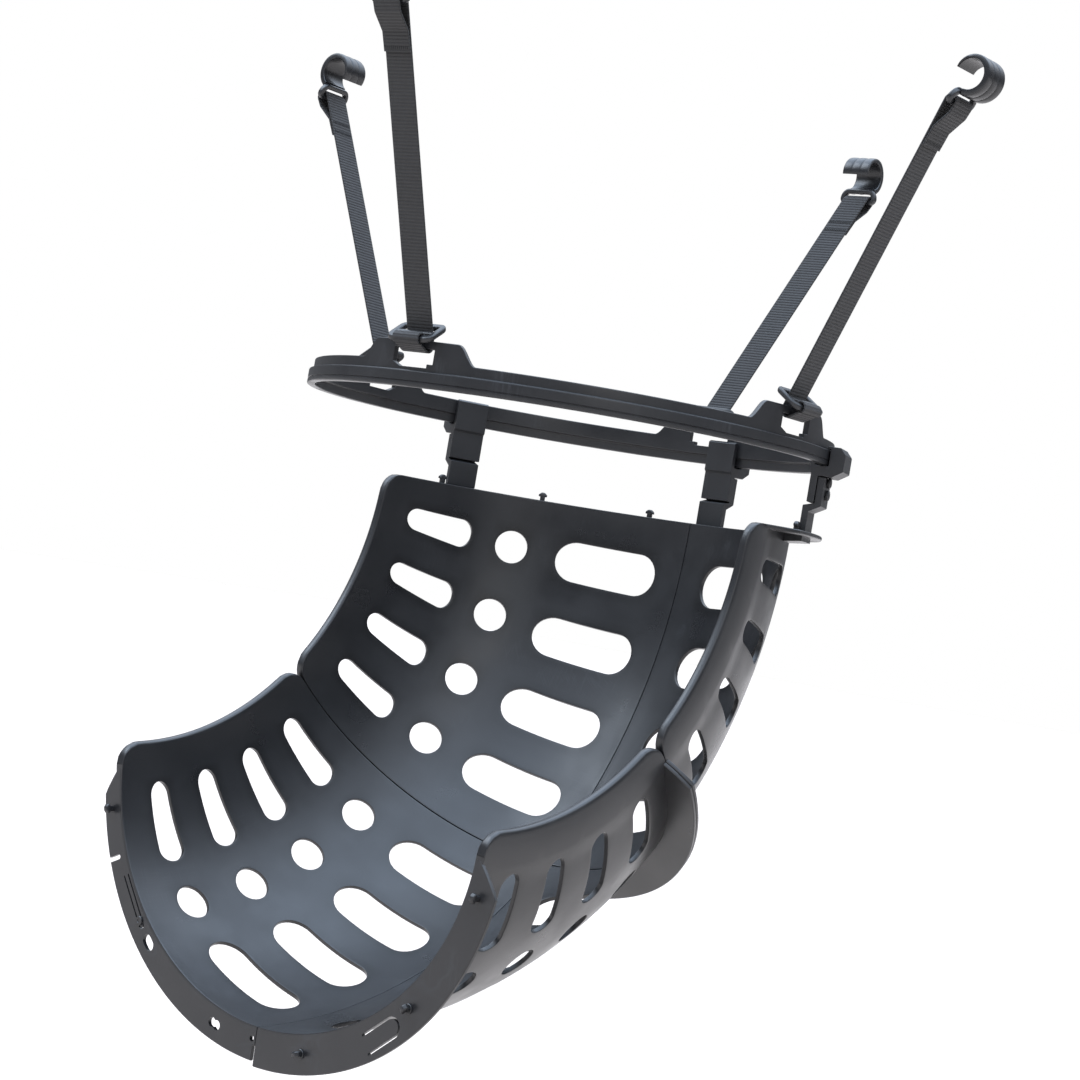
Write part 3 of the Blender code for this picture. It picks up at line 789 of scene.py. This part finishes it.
    def wall_body(self) -> bpy.types.Object:
        """Perforated wall: the layout on the inner and outer surfaces, joined at every free edge.

        The wall thickens smoothly to the rim, where both surfaces close in on a quarter circle of rim_round.
        """
        flat, quads, lip, rim = self.lattice()
        used = np.unique(quads)
        renumber = np.zeros(len(flat), int)
        renumber[used] = np.arange(len(used))
        quads, flat, lip, rim = renumber[quads], flat[used], lip[used], rim[used]
        bend, phi = flat[:, 0], flat[:, 1]
        step = np.clip((phi - 78.0) / 8.0, 0.0, 1.0)
        thick = self.wall + (self.rim_thick - self.wall) * step * step * (3.0 - 2.0 * step)
        to_rim = (1.0 - rim) * np.radians(6.0) * self.half_width
        inside = np.where(rim > 0.0, np.clip(self.rim_round - to_rim, 0.0, self.rim_round), 0.0)
        close = self.rim_round - np.sqrt(self.rim_round ** 2 - inside ** 2)
        inset = GAP + self.end_inset
        shift = np.where(bend == 0.0, inset, np.where(bend == self.turn, -inset, 0.0))
        radius = self.pipe_radius(phi)
        sideways = np.where(phi == 0.0, GAP, 0.0)
        start = self.level.value
        layers = [self.place(start + bend, phi, radius + depth, shift, sideways)
                  for depth in (close, thick - close)]
        count = len(flat)
        edges = np.concatenate([quads[:, [i, (i + 1) % 4]] for i in range(4)])
        key, back = edges[:, 0] * count + edges[:, 1], edges[:, 1] * count + edges[:, 0]
        free = edges[~np.isin(key, back)]
        sides = np.stack([free[:, 1], free[:, 0], free[:, 0] + count, free[:, 1] + count], -1)
        faces = np.concatenate([quads, quads[:, ::-1] + count, sides])
        wall = new_object(self.name + "_wall", (np.concatenate(layers), faces.tolist()))
        # The painted shade at the openings' edges, kept per point for the material.
        keep_values(wall, "lip", np.tile(lip, 2))
        return bevel(wall, 0.0005, 50.0)

    def end_flange(self, at_end: bool) -> bpy.types.Object:
        """Flange in an end plane: its chamfered section carried round the pipe and tapered off at the rim."""
        bend = self.level.value + (self.turn if at_end else 0.0)
        way = -1.0 if at_end else 1.0
        full, dip = (0.169, 0.0044) if self.side is Side.LEFT else (0.175, 0.0075)
        phi = np.linspace(0.12, 85.3, 72)
        outer = full - dip * np.cos(np.radians(phi)) ** 3
        outer = outer + (self.half_width + 0.004 - outer) * np.clip((phi - 79.5) / 5.8, 0.0, 1.0)
        inner = self.pipe_radius(phi) + 0.5 * self.wall
        cut, back = 0.0005, self.flange_thick
        profile = np.array([(0, 0.0, 0.0), (1, 0.0, -cut), (1, cut, 0.0), (1, back - cut, 0.0),
                            (1, back, -cut), (0, back, 0.0)])
        radius = inner[:, None] + (outer - inner)[:, None] * profile[None, :, 0] + profile[None, :, 2]
        grid = self.place(bend, phi[:, None], radius, way * (GAP + profile[None, :, 1]))
        return solid(f"{self.name}_{'foot' if at_end else 'head'}_flange", grid)

    def plane_frame(self, bend: float, phi: float, radius: float) -> Matrix:
        """Placement on an end plane: local X round the pipe, local Y outwards, local Z up the bend."""
        centre = Vector(self.place(bend, phi, radius).tolist())
        up = centre - Vector(self.place(bend, phi, radius, 1.0).tolist())
        out = (Vector(self.place(bend, phi, radius + 1.0).tolist()) - centre).normalized()
        across = out.cross(up)
        place = Matrix((across, out, up)).transposed().to_4x4()
        place.translation = centre
        return place

    def punch(self, bend: float, marks: list[tuple]) -> list[bpy.types.Object]:
        """Cutters for an end flange.

        Args:
            bend: Bend angle of the end plane.
            marks: Each (points, width): points is a list of (pipe angle, radius), and the cut follows them as
                a slot of that width with round ends.

        Returns:
            One closed cutter for each mark.
        """
        made = []
        for i, (points, width) in enumerate(marks):
            line = np.array(points, float)
            if len(line) == 1:
                line = np.array([line[0] - (0.02, 0.0), line[0] + (0.02, 0.0)])
            spot = np.radians(line[:, 0])
            flat = line[:, 1:] * np.stack([np.sin(spot), np.cos(spot)], -1)
            flat = resample(flat, 0.0012) if len(points) > 1 else flat
            tangent = np.gradient(flat, axis=0)
            tangent /= np.linalg.norm(tangent, axis=1, keepdims=True)
            normal = np.stack([-tangent[:, 1], tangent[:, 0]], -1) * width / 2
            turn = np.radians(np.linspace(0.0, 180.0, 9))[1:-1, None]
            cap_end = flat[-1] - normal[-1] * -np.cos(turn) + tangent[-1] * np.sin(turn) * width / 2
            cap_start = flat[0] + normal[0] * -np.cos(turn) - tangent[0] * np.sin(turn) * width / 2
            outline = np.concatenate([flat + normal, cap_end, (flat - normal)[::-1], cap_start])
            radius = np.hypot(outline[:, 0], outline[:, 1])
            phi = np.degrees(np.arctan2(outline[:, 0], outline[:, 1]))
            grid = np.stack([self.place(bend, phi, radius, s) for s in (-0.006, 0.006)])
            made.append(solid(f"{self.name}_punch_{i}", grid))
        return made

    def marks(self) -> list[tuple]:
        """Slots, tongues and holes of the outlet flange."""
        if self.side is Side.LEFT:
            return [([(64.9, 0.160), (64.9, 0.176)], 0.0032),
                    ([(60.0, 0.1580), (47.5, 0.1579), (46.9, 0.1573), (46.7, 0.1560), (46.9, 0.1547),
                      (47.5, 0.1541), (60.0, 0.1542)], 0.0011),
                    ([(43.5, 0.1566), (42.1, 0.1566)], 0.0075), ([(14.8, 0.1547)], 0.0062),
                    ([(13.2, 0.1547)], 0.0062), ([(0.3, 0.1560), (0.3, 0.1720)], 0.0032),
                    ([(1.3, 0.1512)], 0.0037)]
        return [([(34.0, 0.1548), (42.3, 0.1549), (43.3, 0.1557), (44.1, 0.1578), (44.4, 0.1607),
                  (44.1, 0.1636), (43.3, 0.1657), (42.3, 0.1665), (34.0, 0.1665)], 0.0014)]

    def stud(self, phi: float, radius: float, bend: float, up: float) -> bpy.types.Object:
        """Snap stud: a square shaft whose head is wider across, as sections of set height and half widths."""
        heights = np.array([-0.0012, 0.0028, 0.0031, 0.0044, 0.0056, 0.0060])
        half = np.array([0.0017, 0.0017, 0.0030, 0.0029, 0.0016, 0.0008])
        groove_shade_colour = np.array([0.0017, 0.0017, 0.0018, 0.0018, 0.0015, 0.0008])
        unit = rounded_box(2.0, 2.0, 0.45, 3)
        grid = np.concatenate([unit[None] * np.stack([half, groove_shade_colour], -1)[:, None, :],
                               np.broadcast_to((up * heights)[:, None, None], (6, len(unit), 1))], -1)
        return solid(self.name + "_stud", grid, self.plane_frame(bend, phi, radius))

    def boss(self, phi: float, radius: float, bend: float, up: float) -> bpy.types.Object:
        """Low round boss with a dimpled top, turned from pairs of radius and height."""
        turn = np.linspace(0.0, 2 * math.pi, 20, endpoint=False)
        shape = np.array([(1.0, -0.001), (1.0, 0.0007), (0.9, 0.0010), (0.45, 0.0010), (0.35, 0.0006),
                          (0.1, 0.0005)])
        reach = self.boss_size * shape[:, :1]
        grid = np.stack([reach * np.cos(turn), reach * np.sin(turn),
                         np.broadcast_to(up * shape[:, 1:], (len(shape), len(turn)))], -1)
        return solid(self.name + "_boss", grid, self.plane_frame(bend, phi, radius))

    def seam_rib(self) -> bpy.types.Object:
        """Rib along the bottom seam: a rounded section carried along the bend."""
        bend = self.level.value + np.linspace(0.0, self.turn, 40)
        shift = np.zeros(len(bend))
        shift[0], shift[-1] = 0.0012, -0.0012
        section = rounded_box(0.00265, 0.0100, 0.0007, 2) + (0.001575, 0.0065)
        radius = self.depth + section[:, 1]
        grid = self.place(bend[:, None], 0.0, radius[None, :], shift[:, None], section[None, :, 0])
        return solid(self.name + "_rib", grid)

    def pads(self) -> list[bpy.types.Object]:
        """Thicker stretches of the top flange under the hangers' feet."""
        made = []
        for low, high in ((0.25, 6.0), (61.0, 71.0)):
            phi = np.linspace(low, high, 8)
            inner = self.pipe_radius(phi) + 0.5 * self.wall
            down = np.array([0.0012, 0.0012, 0.0060, 0.0078])
            outer = np.full(len(phi), 0.1675)
            radius = np.stack([inner, outer, outer, inner], -1)
            grid = self.place(0.0, phi[:, None], radius, down[None, :])
            made.append(solid(self.name + "_pad", grid))
        return made

    def build(self) -> None:
        """Build the panel as one closed piece and dress it."""
        wall = self.wall_body()
        extras = [self.end_flange(False), self.seam_rib()]
        foot = self.end_flange(True)
        end = self.level.value + self.turn
        upper = self.level is Level.UPPER
        if not upper:
            combine(foot, self.punch(end, self.marks()), "DIFFERENCE")
        extras.append(foot)
        bend, up = (0.0, 1.0) if upper else (end, -1.0)
        extras += [self.stud(phi, radius, bend, up) for phi, radius in self.studs[(self.side, self.level)]]
        if upper:
            extras += self.pads()
        else:
            dots = ((48.6, 0.1560),) if self.side is Side.LEFT else ((48.5, 0.1590), (14.5, 0.1556))
            extras += [self.boss(phi, radius, bend, up) for phi, radius in dots]
        combine(wall, extras, "UNION")
        wall.name = self.name + "_moulding"
        dress(wall, self.wardrobe.panel, "chute", "panel_plastic", self.name)


# ---- ring ----------------------------------------------------------------------------------------

LUGS = {"left": 94.0, "front": 184.5, "back": 5.0, "right": -86.5}


@dataclass
class RailRing:
    """Ring with a rail for the hangers and four raised lugs, each with a stepped slot for a strap."""

    wardrobe: Wardrobe
    inner: float = 0.1682
    outer: float = 0.1750
    web: float = 0.1722
    bottom: float = 0.0441
    ledge: float = 0.0539
    top: float = 0.0606
    lug_top: float = 0.0730
    base_half: float = 0.040
    top_half: float = 0.033
    recess: float = 0.0014
    steps: int = 720

    def top_height(self, azimuth: np.ndarray) -> np.ndarray:
        """Height of the web: level, with each lug rising over a smooth flank between two half widths."""
        radius = (self.inner + self.web) / 2
        foot, crest = self.base_half + 0.004, self.top_half - 0.002
        height = np.full(azimuth.shape, self.top)
        for lug in LUGS.values():
            away = np.abs((azimuth - lug + 180.0) % 360.0 - 180.0)
            x = np.radians(away) * radius
            rise = np.clip((foot - x) / (foot - crest), 0.0, 1.0)
            smooth = rise * rise * (3.0 - 2.0 * rise)
            height = np.maximum(height, self.top + (self.lug_top - self.top) * smooth)
        return height

    def build(self) -> None:
        """Profile turned round the axis with the web's height changing, then slotted, rounded and dressed."""
        azimuth = np.linspace(0.0, 360.0, self.steps, endpoint=False)
        top = self.top_height(azimuth)
        r = 0.0009
        c = r * (1 - math.sqrt(0.5))
        step, groove, fillet = self.inner + self.recess, self.outer - 0.0005, 0.0005
        low = np.array([(step + r, self.bottom), (self.outer - r, self.bottom),
                        (self.outer - c, self.bottom + c), (self.outer, self.bottom + r),
                        (self.outer, 0.0468), (groove, 0.0471), (groove, 0.0475), (self.outer, 0.0478),
                        (self.outer, self.ledge - r), (self.outer - c, self.ledge - c),
                        (self.outer - r, self.ledge), (self.web + fillet, self.ledge),
                        (self.web, self.ledge + fillet)])
        high = np.array([(self.web, -r), (self.web - c, -c), (self.web - r, 0.0), (self.inner + r, 0.0),
                         (self.inner + c, -c), (self.inner, -r)])
        foot = np.array([(self.inner, 0.0513), (self.inner + c, 0.0506), (step - c, 0.0503), (step, 0.0497),
                         (step, self.bottom + r), (step + c, self.bottom + c)])
        across = np.concatenate([low, high, foot])[:, 0]
        radius = np.broadcast_to(across, (self.steps, len(across)))
        z = np.concatenate([np.broadcast_to(low[:, 1], (self.steps, len(low))),
                            top[:, None] + high[None, :, 1],
                            np.broadcast_to(foot[:, 1], (self.steps, len(foot)))], 1)
        angle = np.radians(azimuth)[:, None]
        grid = np.stack([-radius * np.sin(angle), radius * np.cos(angle), FLANGE_Z + z], -1)
        ring = solid("rail_ring", grid, angle=30.0, closed=True)
        cutters = []
        outline = np.array([(-0.0155, 0.0680), (-0.0155, 0.0588), (-0.0112, 0.0588), (-0.0112, 0.0564),
                            (0.0090, 0.0564), (0.0155, 0.0592), (0.0155, 0.0680)])
        for azimuth_lug in LUGS.values():
            grid = np.stack([np.insert(outline, 1, y, axis=1) for y in (0.160, 0.182)])
            cutters.append(solid("slot", grid, frame_at(0.0, azimuth_lug)))
        combine(ring, cutters, "DIFFERENCE")
        bevel(ring, 0.0004, 60.0)
        dress(ring, self.wardrobe.ring, "ring", "ring_plastic", "ring")


# ---- hangers -------------------------------------------------------------------------------------

@dataclass
class Hanger:
    """Clip on the ring's rail, joggled leg below it and the two pins between them."""

    name: str
    azimuth: float
    wardrobe: Wardrobe
    clip_half: float = 0.01175
    foot_half: float = 0.01075
    edge: float = 0.0004
    turn_steps: int = 28
    pin_heights: dict = field(default_factory=lambda: {"upper": 0.0335, "lower": 0.0255})

    def slab(self, name: str, outline: list[tuple[float, float]], half: float) -> bpy.types.Object:
        """Outline in the YZ plane drawn out along X to both sides, with rounded edges."""
        grid = np.stack([np.insert(np.array(outline), 0, x, axis=1) for x in (-half, half)])
        return bevel(solid(name, grid, frame_at(0.0, self.azimuth)), self.edge, 30.0)

    def turned(self, name: str, shape: list[tuple[float, float]], z: float) -> bpy.types.Object:
        """Body turned about an outward axis at a height, from pairs of outward position and radius."""
        pairs = np.array(shape)
        turn = np.linspace(0.0, 2 * math.pi, self.turn_steps, endpoint=False)
        grid = np.stack([pairs[:, 1:] * np.cos(turn), np.broadcast_to(pairs[:, :1], (len(pairs), len(turn))),
                         z + pairs[:, 1:] * np.sin(turn)], -1)
        return solid(name, grid, frame_at(0.0, self.azimuth), 40.0)

    def build(self) -> None:
        """Build the clip, leg and pins and dress them."""
        clip = self.slab("clip_" + self.name, [
            (0.1653, 0.0195), (0.1700, 0.0195), (0.1700, 0.0368), (0.1790, 0.0368), (0.1856, 0.0410),
            (0.1856, 0.0520), (0.1820, 0.0562), (0.1742, 0.0562), (0.1732, 0.0545), (0.1760, 0.0545),
            (0.1756, 0.0540), (0.1756, 0.0434), (0.1673, 0.0434), (0.1673, 0.0600), (0.1660, 0.0612),
            (0.1640, 0.0600), (0.1640, 0.0400), (0.1653, 0.0385)], self.clip_half)
        leg = self.slab("lower_leg_" + self.name, [
            (0.1632, 0.0003), (0.1675, 0.0003), (0.1675, 0.0135), (0.1748, 0.0175), (0.1748, 0.0362),
            (0.1703, 0.0362), (0.1703, 0.0192), (0.1632, 0.0172)], self.foot_half)
        for thing in (clip, leg):
            holes = [self.turned("hole", [(0.1664, 0.0019), (0.1800, 0.0019)], z)
                     for z in self.pin_heights.values()]
            combine(thing, holes, "DIFFERENCE")
        dress(clip, self.wardrobe.fitting, "chute", "fitting_plastic", "rail_clip_" + self.name)
        dress(leg, self.wardrobe.fitting, "chute", "fitting_plastic", "leg_" + self.name)
        for level, z in self.pin_heights.items():
            pin = self.turned(f"rivet_{self.name}_{level}", [
                (0.1666, 0.0012), (0.1668, 0.0016), (0.1750, 0.0016), (0.1751, 0.0031), (0.1754, 0.0034),
                (0.1766, 0.0034), (0.1770, 0.0030), (0.1772, 0.0024), (0.1769, 0.0019), (0.1768, 0.0008)], z)
            dress(pin, self.wardrobe.fitting, "chute", "fitting_plastic", f"pin_{self.name}_{level}")


# ---- straps --------------------------------------------------------------------------------------

EYES = {"left": (96.6, 0.2557), "front": (185.0, 0.2608), "back": (-5.4, 0.2508), "right": (-86.6, 0.2658)}
HOOK_LEAN = {"left": -20.0, "front": 4.0, "back": 4.0, "right": 35.0}


@dataclass
class StrapSet:
    """Webbing strap with its sliding buckle and its rim hook."""

    name: str
    wardrobe: Wardrobe
    bar_radius: float = 0.1702
    bar_z: float = 0.0705
    eye_circle: float = 0.2485
    thick: float = 0.0012
    width: float = 0.020
    loop: float = 0.0043
    eye_loop: float = 0.0040
    sewn: float = 0.030
    bore: float = 0.0095
    tilt: float = 12.0
    foot: float = 0.006
    fold_at: tuple[float, float] = (0.0070, 0.0056)
    hook_thick: float = 0.0042
    hook_half: float = 0.0105

    def __post_init__(self) -> None:
        """Work out where the strap stands: its placement, length, sideways slope and lean."""
        azimuth = LUGS[self.name]
        bar = frame_at(self.bar_radius, azimuth, self.bar_z).translation
        eye = frame_at(self.eye_circle, *EYES[self.name]).translation
        turn = Matrix.Rotation(math.radians(azimuth), 4, "Z")
        reach = turn.to_3x3().transposed() @ (eye - bar)
        self.lean = math.atan2(reach.y, reach.z)
        self.length = math.hypot(reach.y, reach.z)
        self.slope = reach.x / self.length
        self.place = Matrix.Translation(bar) @ turn @ Matrix.Rotation(-self.lean, 4, "X")
        hook = self.place @ Matrix.Translation((self.slope * (self.length - self.foot), 0.0, self.length))
        self.hook_place = hook @ Matrix.Rotation(self.lean - math.radians(HOOK_LEAN[self.name]), 4, "X")

    def webbing(self, name: str, path: np.ndarray, sheared: bool, start: float = 0.0) -> bpy.types.Object:
        """Webbing that follows a path, with its run and its width kept as the attributes along and across.

        The section is a rounded strip carried along the path; sheared, it leans by slope * (z - foot) in x.
        """
        spacing = 0.0006
        line = resample(path, spacing)
        corners = rounded_box(self.width, self.thick, 0.00045, 3).reshape(4, -1, 2)
        extra = np.linspace(-self.width / 2 + spacing, self.width / 2 - spacing, 9)
        top = np.stack([extra[::-1], np.full(len(extra), self.thick / 2)], -1)
        low = np.stack([extra, np.full(len(extra), -self.thick / 2)], -1)
        section = np.concatenate([corners[0], top, corners[1], corners[2], low, corners[3]])
        run = np.concatenate([[0.0], np.cumsum(np.linalg.norm(np.diff(line, axis=0), axis=1))])
        grid = carry(section, line)
        if sheared:
            grid[..., 0] += self.slope * np.maximum(grid[..., 2] - self.foot, 0.0)
        thing = solid(name, grid, self.place, 50.0)
        for label, values in (("along", np.repeat(run + start, len(section))),
                              ("across", np.tile(section[:, 0], len(line)))):
            keep_values(thing, label, values)
        return thing

    def strap(self) -> bpy.types.Object:
        """Webbing from the near side of the buckle, under the bar, up to the eye and back down, sewn on."""
        length, eye, w = self.length, self.eye_loop, self.thick
        path = np.concatenate([
            [(0.0084768, 0.0030354)], arc((0.0, 0.0), self.loop, -51.0, -180.0, 24),
            [(-self.loop, self.foot), (-eye - 0.0001, length * 0.5), (-eye, length - 0.012)],
            arc((0.0, length), eye, 180.0, 0.0, 28),
            [(eye - 0.0006, length - 0.006), (-eye + w + 0.0006, length - 0.018),
             (-eye + w + 0.0002, length - self.sewn)]])
        return self.webbing(f"webbing_{self.name}", path, True)

    def stitches(self) -> bpy.types.Object:
        """Two bar tacks of short threads across the sewn end, each thread a rounded strip bent over it."""
        made = []
        section = rounded_box(0.0007, 0.00045, 0.0002, 2)
        for z in (self.length - 0.0205, self.length - 0.0275):
            for x in np.linspace(-0.0082, 0.0082, 12):
                for side in (1.0, -1.0):
                    y = -self.eye_loop + (1.5 * self.thick + 0.00015 if side > 0 else -0.5 * self.thick)
                    line = np.stack([np.full(5, y), z + np.linspace(-0.0014, 0.0014, 5)], -1)
                    line[:, 0] += side * np.array([-0.0002, 0.00008, 0.00012, 0.00008, -0.0002])
                    grid = carry(section, line)
                    grid[..., 0] += x + self.slope * (grid[..., 2] - self.foot)
                    made.append(swept(grid))
        points, faces = merge(*made)
        thing = new_object(f"stitching_{self.name}", (placed(points, self.place), faces), 60.0)
        for label in ("along", "across"):
            keep_values(thing, label, np.zeros(len(thing.data.vertices)))
        return thing

    def buckle(self) -> bpy.types.Object:
        """Slider: a rounded frame carried round a rounded rectangle, and a bar across it."""
        tilt = math.tan(math.radians(self.tilt))
        middle_y, groove_shade_colour, wide = -0.0009, 0.0155, 0.0310
        fold_y, fold_z = self.fold_at
        section = rounded_box(0.0042, 0.0034, 0.0011, 3)
        flat = around(rounded_box(wide, groove_shade_colour, 0.0030, 6), section)
        y = flat[..., 1] + middle_y
        grid = np.stack([flat[..., 0], y, fold_z + (fold_y - y) * tilt + section[None, :, 1]], -1)
        bar = rounded_box(0.0032, 0.0030, 0.0010, 3)
        bar_y = bar[:, 0] + 0.0006
        x = np.linspace(-wide / 2, wide / 2, 7)
        bar_z = fold_z + (fold_y - bar_y) * tilt + bar[:, 1]
        across = np.stack(np.broadcast_arrays(x[:, None], bar_y[None, :], bar_z[None, :]), -1)
        body = solid(f"slider_{self.name}", grid, closed=True)
        body.data.transform(self.place)
        return combine(body, [solid("bar", across, self.place)], "UNION")

    def fold(self) -> bpy.types.Object:
        """Webbing wrapped over the slider's near bar."""
        path = arc(self.fold_at, 0.0034, -42.0, 192.0, 40)
        return self.webbing(f"fold_{self.name}", path, False, 0.3)

    def hook(self) -> bpy.types.Object:
        """Rim hook: a ribbed arch that thins to a chisel tip, on a rounded eye frame.

        The arch's section, with three ridges outside, is carried round its bore; its depth falls from 4.2 mm
        to 1 mm over the last half of the turn. The eye is a section carried round a rounded trapezoid.
        """
        along = np.linspace(0.0, 1.0, 64)
        thick = self.hook_thick - 0.0032 * np.clip((along - 0.5) / 0.5, 0.0, 1.0) ** 1.2
        x = np.linspace(-self.hook_half, self.hook_half, 43)
        groove = 0.0009 * (1.0 - np.abs(np.cos(x / self.hook_half * 1.5 * math.pi)) ** 0.35)
        edge = 0.0008 * np.clip((np.abs(x) - 0.0097) / 0.0008, 0.0, 1.0) ** 2
        fade = np.clip(thick / self.hook_thick, 0.3, 1.0)
        outside = thick[:, None] - (groove + edge)[None, :] * fade[:, None]
        inside = np.broadcast_to((edge * 0.6)[None, :], outside.shape)
        profile = np.stack([np.concatenate([np.broadcast_to(x, outside.shape),
                                            np.broadcast_to(x[::-1], outside.shape)], 1),
                            np.concatenate([outside, inside[:, ::-1]], 1)], -1)
        angle = np.radians(-72.0 + 262.0 * along)[:, None]
        radius = self.bore + profile[..., 1]
        y, z = -0.0010 + radius * np.cos(angle), 0.0195 + radius * np.sin(angle)
        grid = np.stack([profile[..., 0], y, z], -1)
        arch = solid(f"rim_hook_{self.name}", grid, self.hook_place, 45.0)
        high = 0.0078
        loop = rounded_box(0.0265, high, 0.0034, 6)
        loop[:, 0] *= 1.0 - 0.16 * (loop[:, 1] + high / 2) / high
        section = rounded_box(0.0036, 0.0042, 0.0012, 3)
        flat = around(loop, section)
        depth = np.broadcast_to(section[None, :, 1] + 0.0002, flat.shape[:2])
        grid = np.stack([flat[..., 0], depth, flat[..., 1] + 0.0040], -1)
        return combine(arch, [solid("eye", grid, self.hook_place, closed=True)], "UNION")

    def build(self) -> None:
        """Build and dress the strap's pieces."""
        n, w = self.name, self.wardrobe
        dress(self.strap(), w.webbing, "strap_" + n, "webbing", "strap_" + n)
        dress(self.stitches(), w.thread, "strap_" + n, "webbing")
        dress(self.buckle(), w.fitting, "buckle_" + n, "buckle_plastic", "buckle_" + n)
        dress(self.fold(), w.webbing, "buckle_" + n, "webbing", "webbing_fold_" + n)
        dress(self.hook(), w.hook, "hook_" + n, "hook_plastic", "hook_" + n)


# ---- studio --------------------------------------------------------------------------------------

@dataclass
class Studio:
    """Pale floor and backdrop, soft lights and the camera."""

    azimuth: float = 40.6
    distance: float = 1.769
    height: float = -0.346
    roll: float = 9.49
    pitch: float = 1.22
    yaw: float = 40.85
    lens: float = 89.9
    horizon: float = 0.22
    zenith: float = 4.2
    sky_low: float = 0.25
    sky_high: float = 1.0
    floor_half: float = 30.0
    floor_z: float = -0.95
    target: tuple[float, float, float] = (0.0, 0.0, -0.38)

    def camera(self) -> None:
        """Camera from its place and its yaw, pitch and roll."""
        az, a, p, r = (math.radians(v) for v in (self.azimuth, self.yaw, self.pitch, self.roll))
        data = bpy.data.cameras.new("camera")
        data.lens = self.lens
        data.sensor_width = 36.0
        data.clip_end = 100.0
        camera = in_scene("camera", data)
        ahead = Vector((-math.sin(a) * math.cos(p), math.cos(a) * math.cos(p), math.sin(p)))
        level = Vector((math.cos(a), math.sin(a), 0.0))
        above = level.cross(ahead)
        right = math.cos(r) * level + math.sin(r) * above
        up = -math.sin(r) * level + math.cos(r) * above
        place = Matrix((right, up, -ahead)).transposed().to_4x4()
        place.translation = (self.distance * math.sin(az), -self.distance * math.cos(az), self.height)
        camera.matrix_world = place
        bpy.context.scene.camera = camera

    def backdrop(self) -> None:
        """Wide pale floor well below the object."""
        size, z = self.floor_half, self.floor_z
        mesh = bpy.data.meshes.new("floor")
        corners = [(-size, -size, z), (size, -size, z), (size, size, z), (-size, size, z)]
        mesh.from_pydata(corners, [], [(0, 1, 2, 3)])
        floor = in_scene("floor", mesh)
        paint, _, shader = painted("floor_paint")
        shader.inputs["Base Color"].default_value = (0.64, 0.54, 0.46, 1.0)
        shader.inputs["Roughness"].default_value = 0.9
        mesh.materials.append(paint)

    def lamp(self, name: str, place: tuple[float, float, float], size: float, power: float,
             colour: tuple[float, float, float]) -> None:
        """Soft square lamp that faces the chute."""
        data = bpy.data.lights.new(name, "AREA")
        data.shape = "SQUARE"
        data.size = size
        data.energy = power
        data.color = colour
        lamp = in_scene(name, data)
        lamp.location = place
        lamp.rotation_mode = "QUATERNION"
        lamp.rotation_quaternion = (Vector(self.target) - Vector(place)).to_track_quat("-Z", "Y")

    def build(self) -> None:
        """World, floor, lamps and camera."""
        world = bpy.data.worlds.new("studio")
        world.use_nodes = True
        tree = Tree(world.node_tree)
        shown = world.node_tree.nodes["Background"]
        shown.inputs[0].default_value = WHITE
        shown.inputs[1].default_value = 1.0
        up = tree.add("SeparateXYZ", {0: tree.add("TexCoord").outputs["Generated"]}).outputs[2]
        height = tree.ramp(up, self.sky_low, self.sky_high)
        colour = tree.mix(height, (0.90, 0.93, 1.0, 1.0), (0.66, 0.80, 1.0, 1.0))
        power = tree.plus(self.horizon, tree.times(height, self.zenith))
        lighting = tree.add("Background", {"Color": colour, "Strength": power})
        chosen = tree.add("MixShader", {0: tree.add("LightPath").outputs["Is Camera Ray"],
                                        1: lighting.outputs[0], 2: shown.outputs[0]})
        world.node_tree.links.new(chosen.outputs[0], world.node_tree.nodes["World Output"].inputs[0])
        bpy.context.scene.world = world
        self.backdrop()
        self.camera()
        self.lamp("sky_panel", (-1.6, -1.3, 1.9), 1.6, 40.0, (0.78, 0.88, 1.0))
        self.lamp("side_panel", (2.2, -1.6, 0.8), 1.2, 8.0, (1.0, 0.98, 0.95))
        bpy.context.scene.view_settings.view_transform = "Standard"


def main() -> None:
    """Build every piece in order."""
    logging.basicConfig(level=logging.INFO, format="%(name)s: %(message)s")
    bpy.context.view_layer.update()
    Studio().build()
    wardrobe = make_wardrobe()
    RailRing(wardrobe).build()
    for level in Level:
        for side in Side:
            ChutePanel(side, level, wardrobe).build()
    for name, azimuth in (("left", 66.0), ("centre", 0.0), ("right", -66.0)):
        Hanger(name, azimuth, wardrobe).build()
    for name in LUGS:
        StrapSet(name, wardrobe).build()


if __name__ == "__main__":
    main()
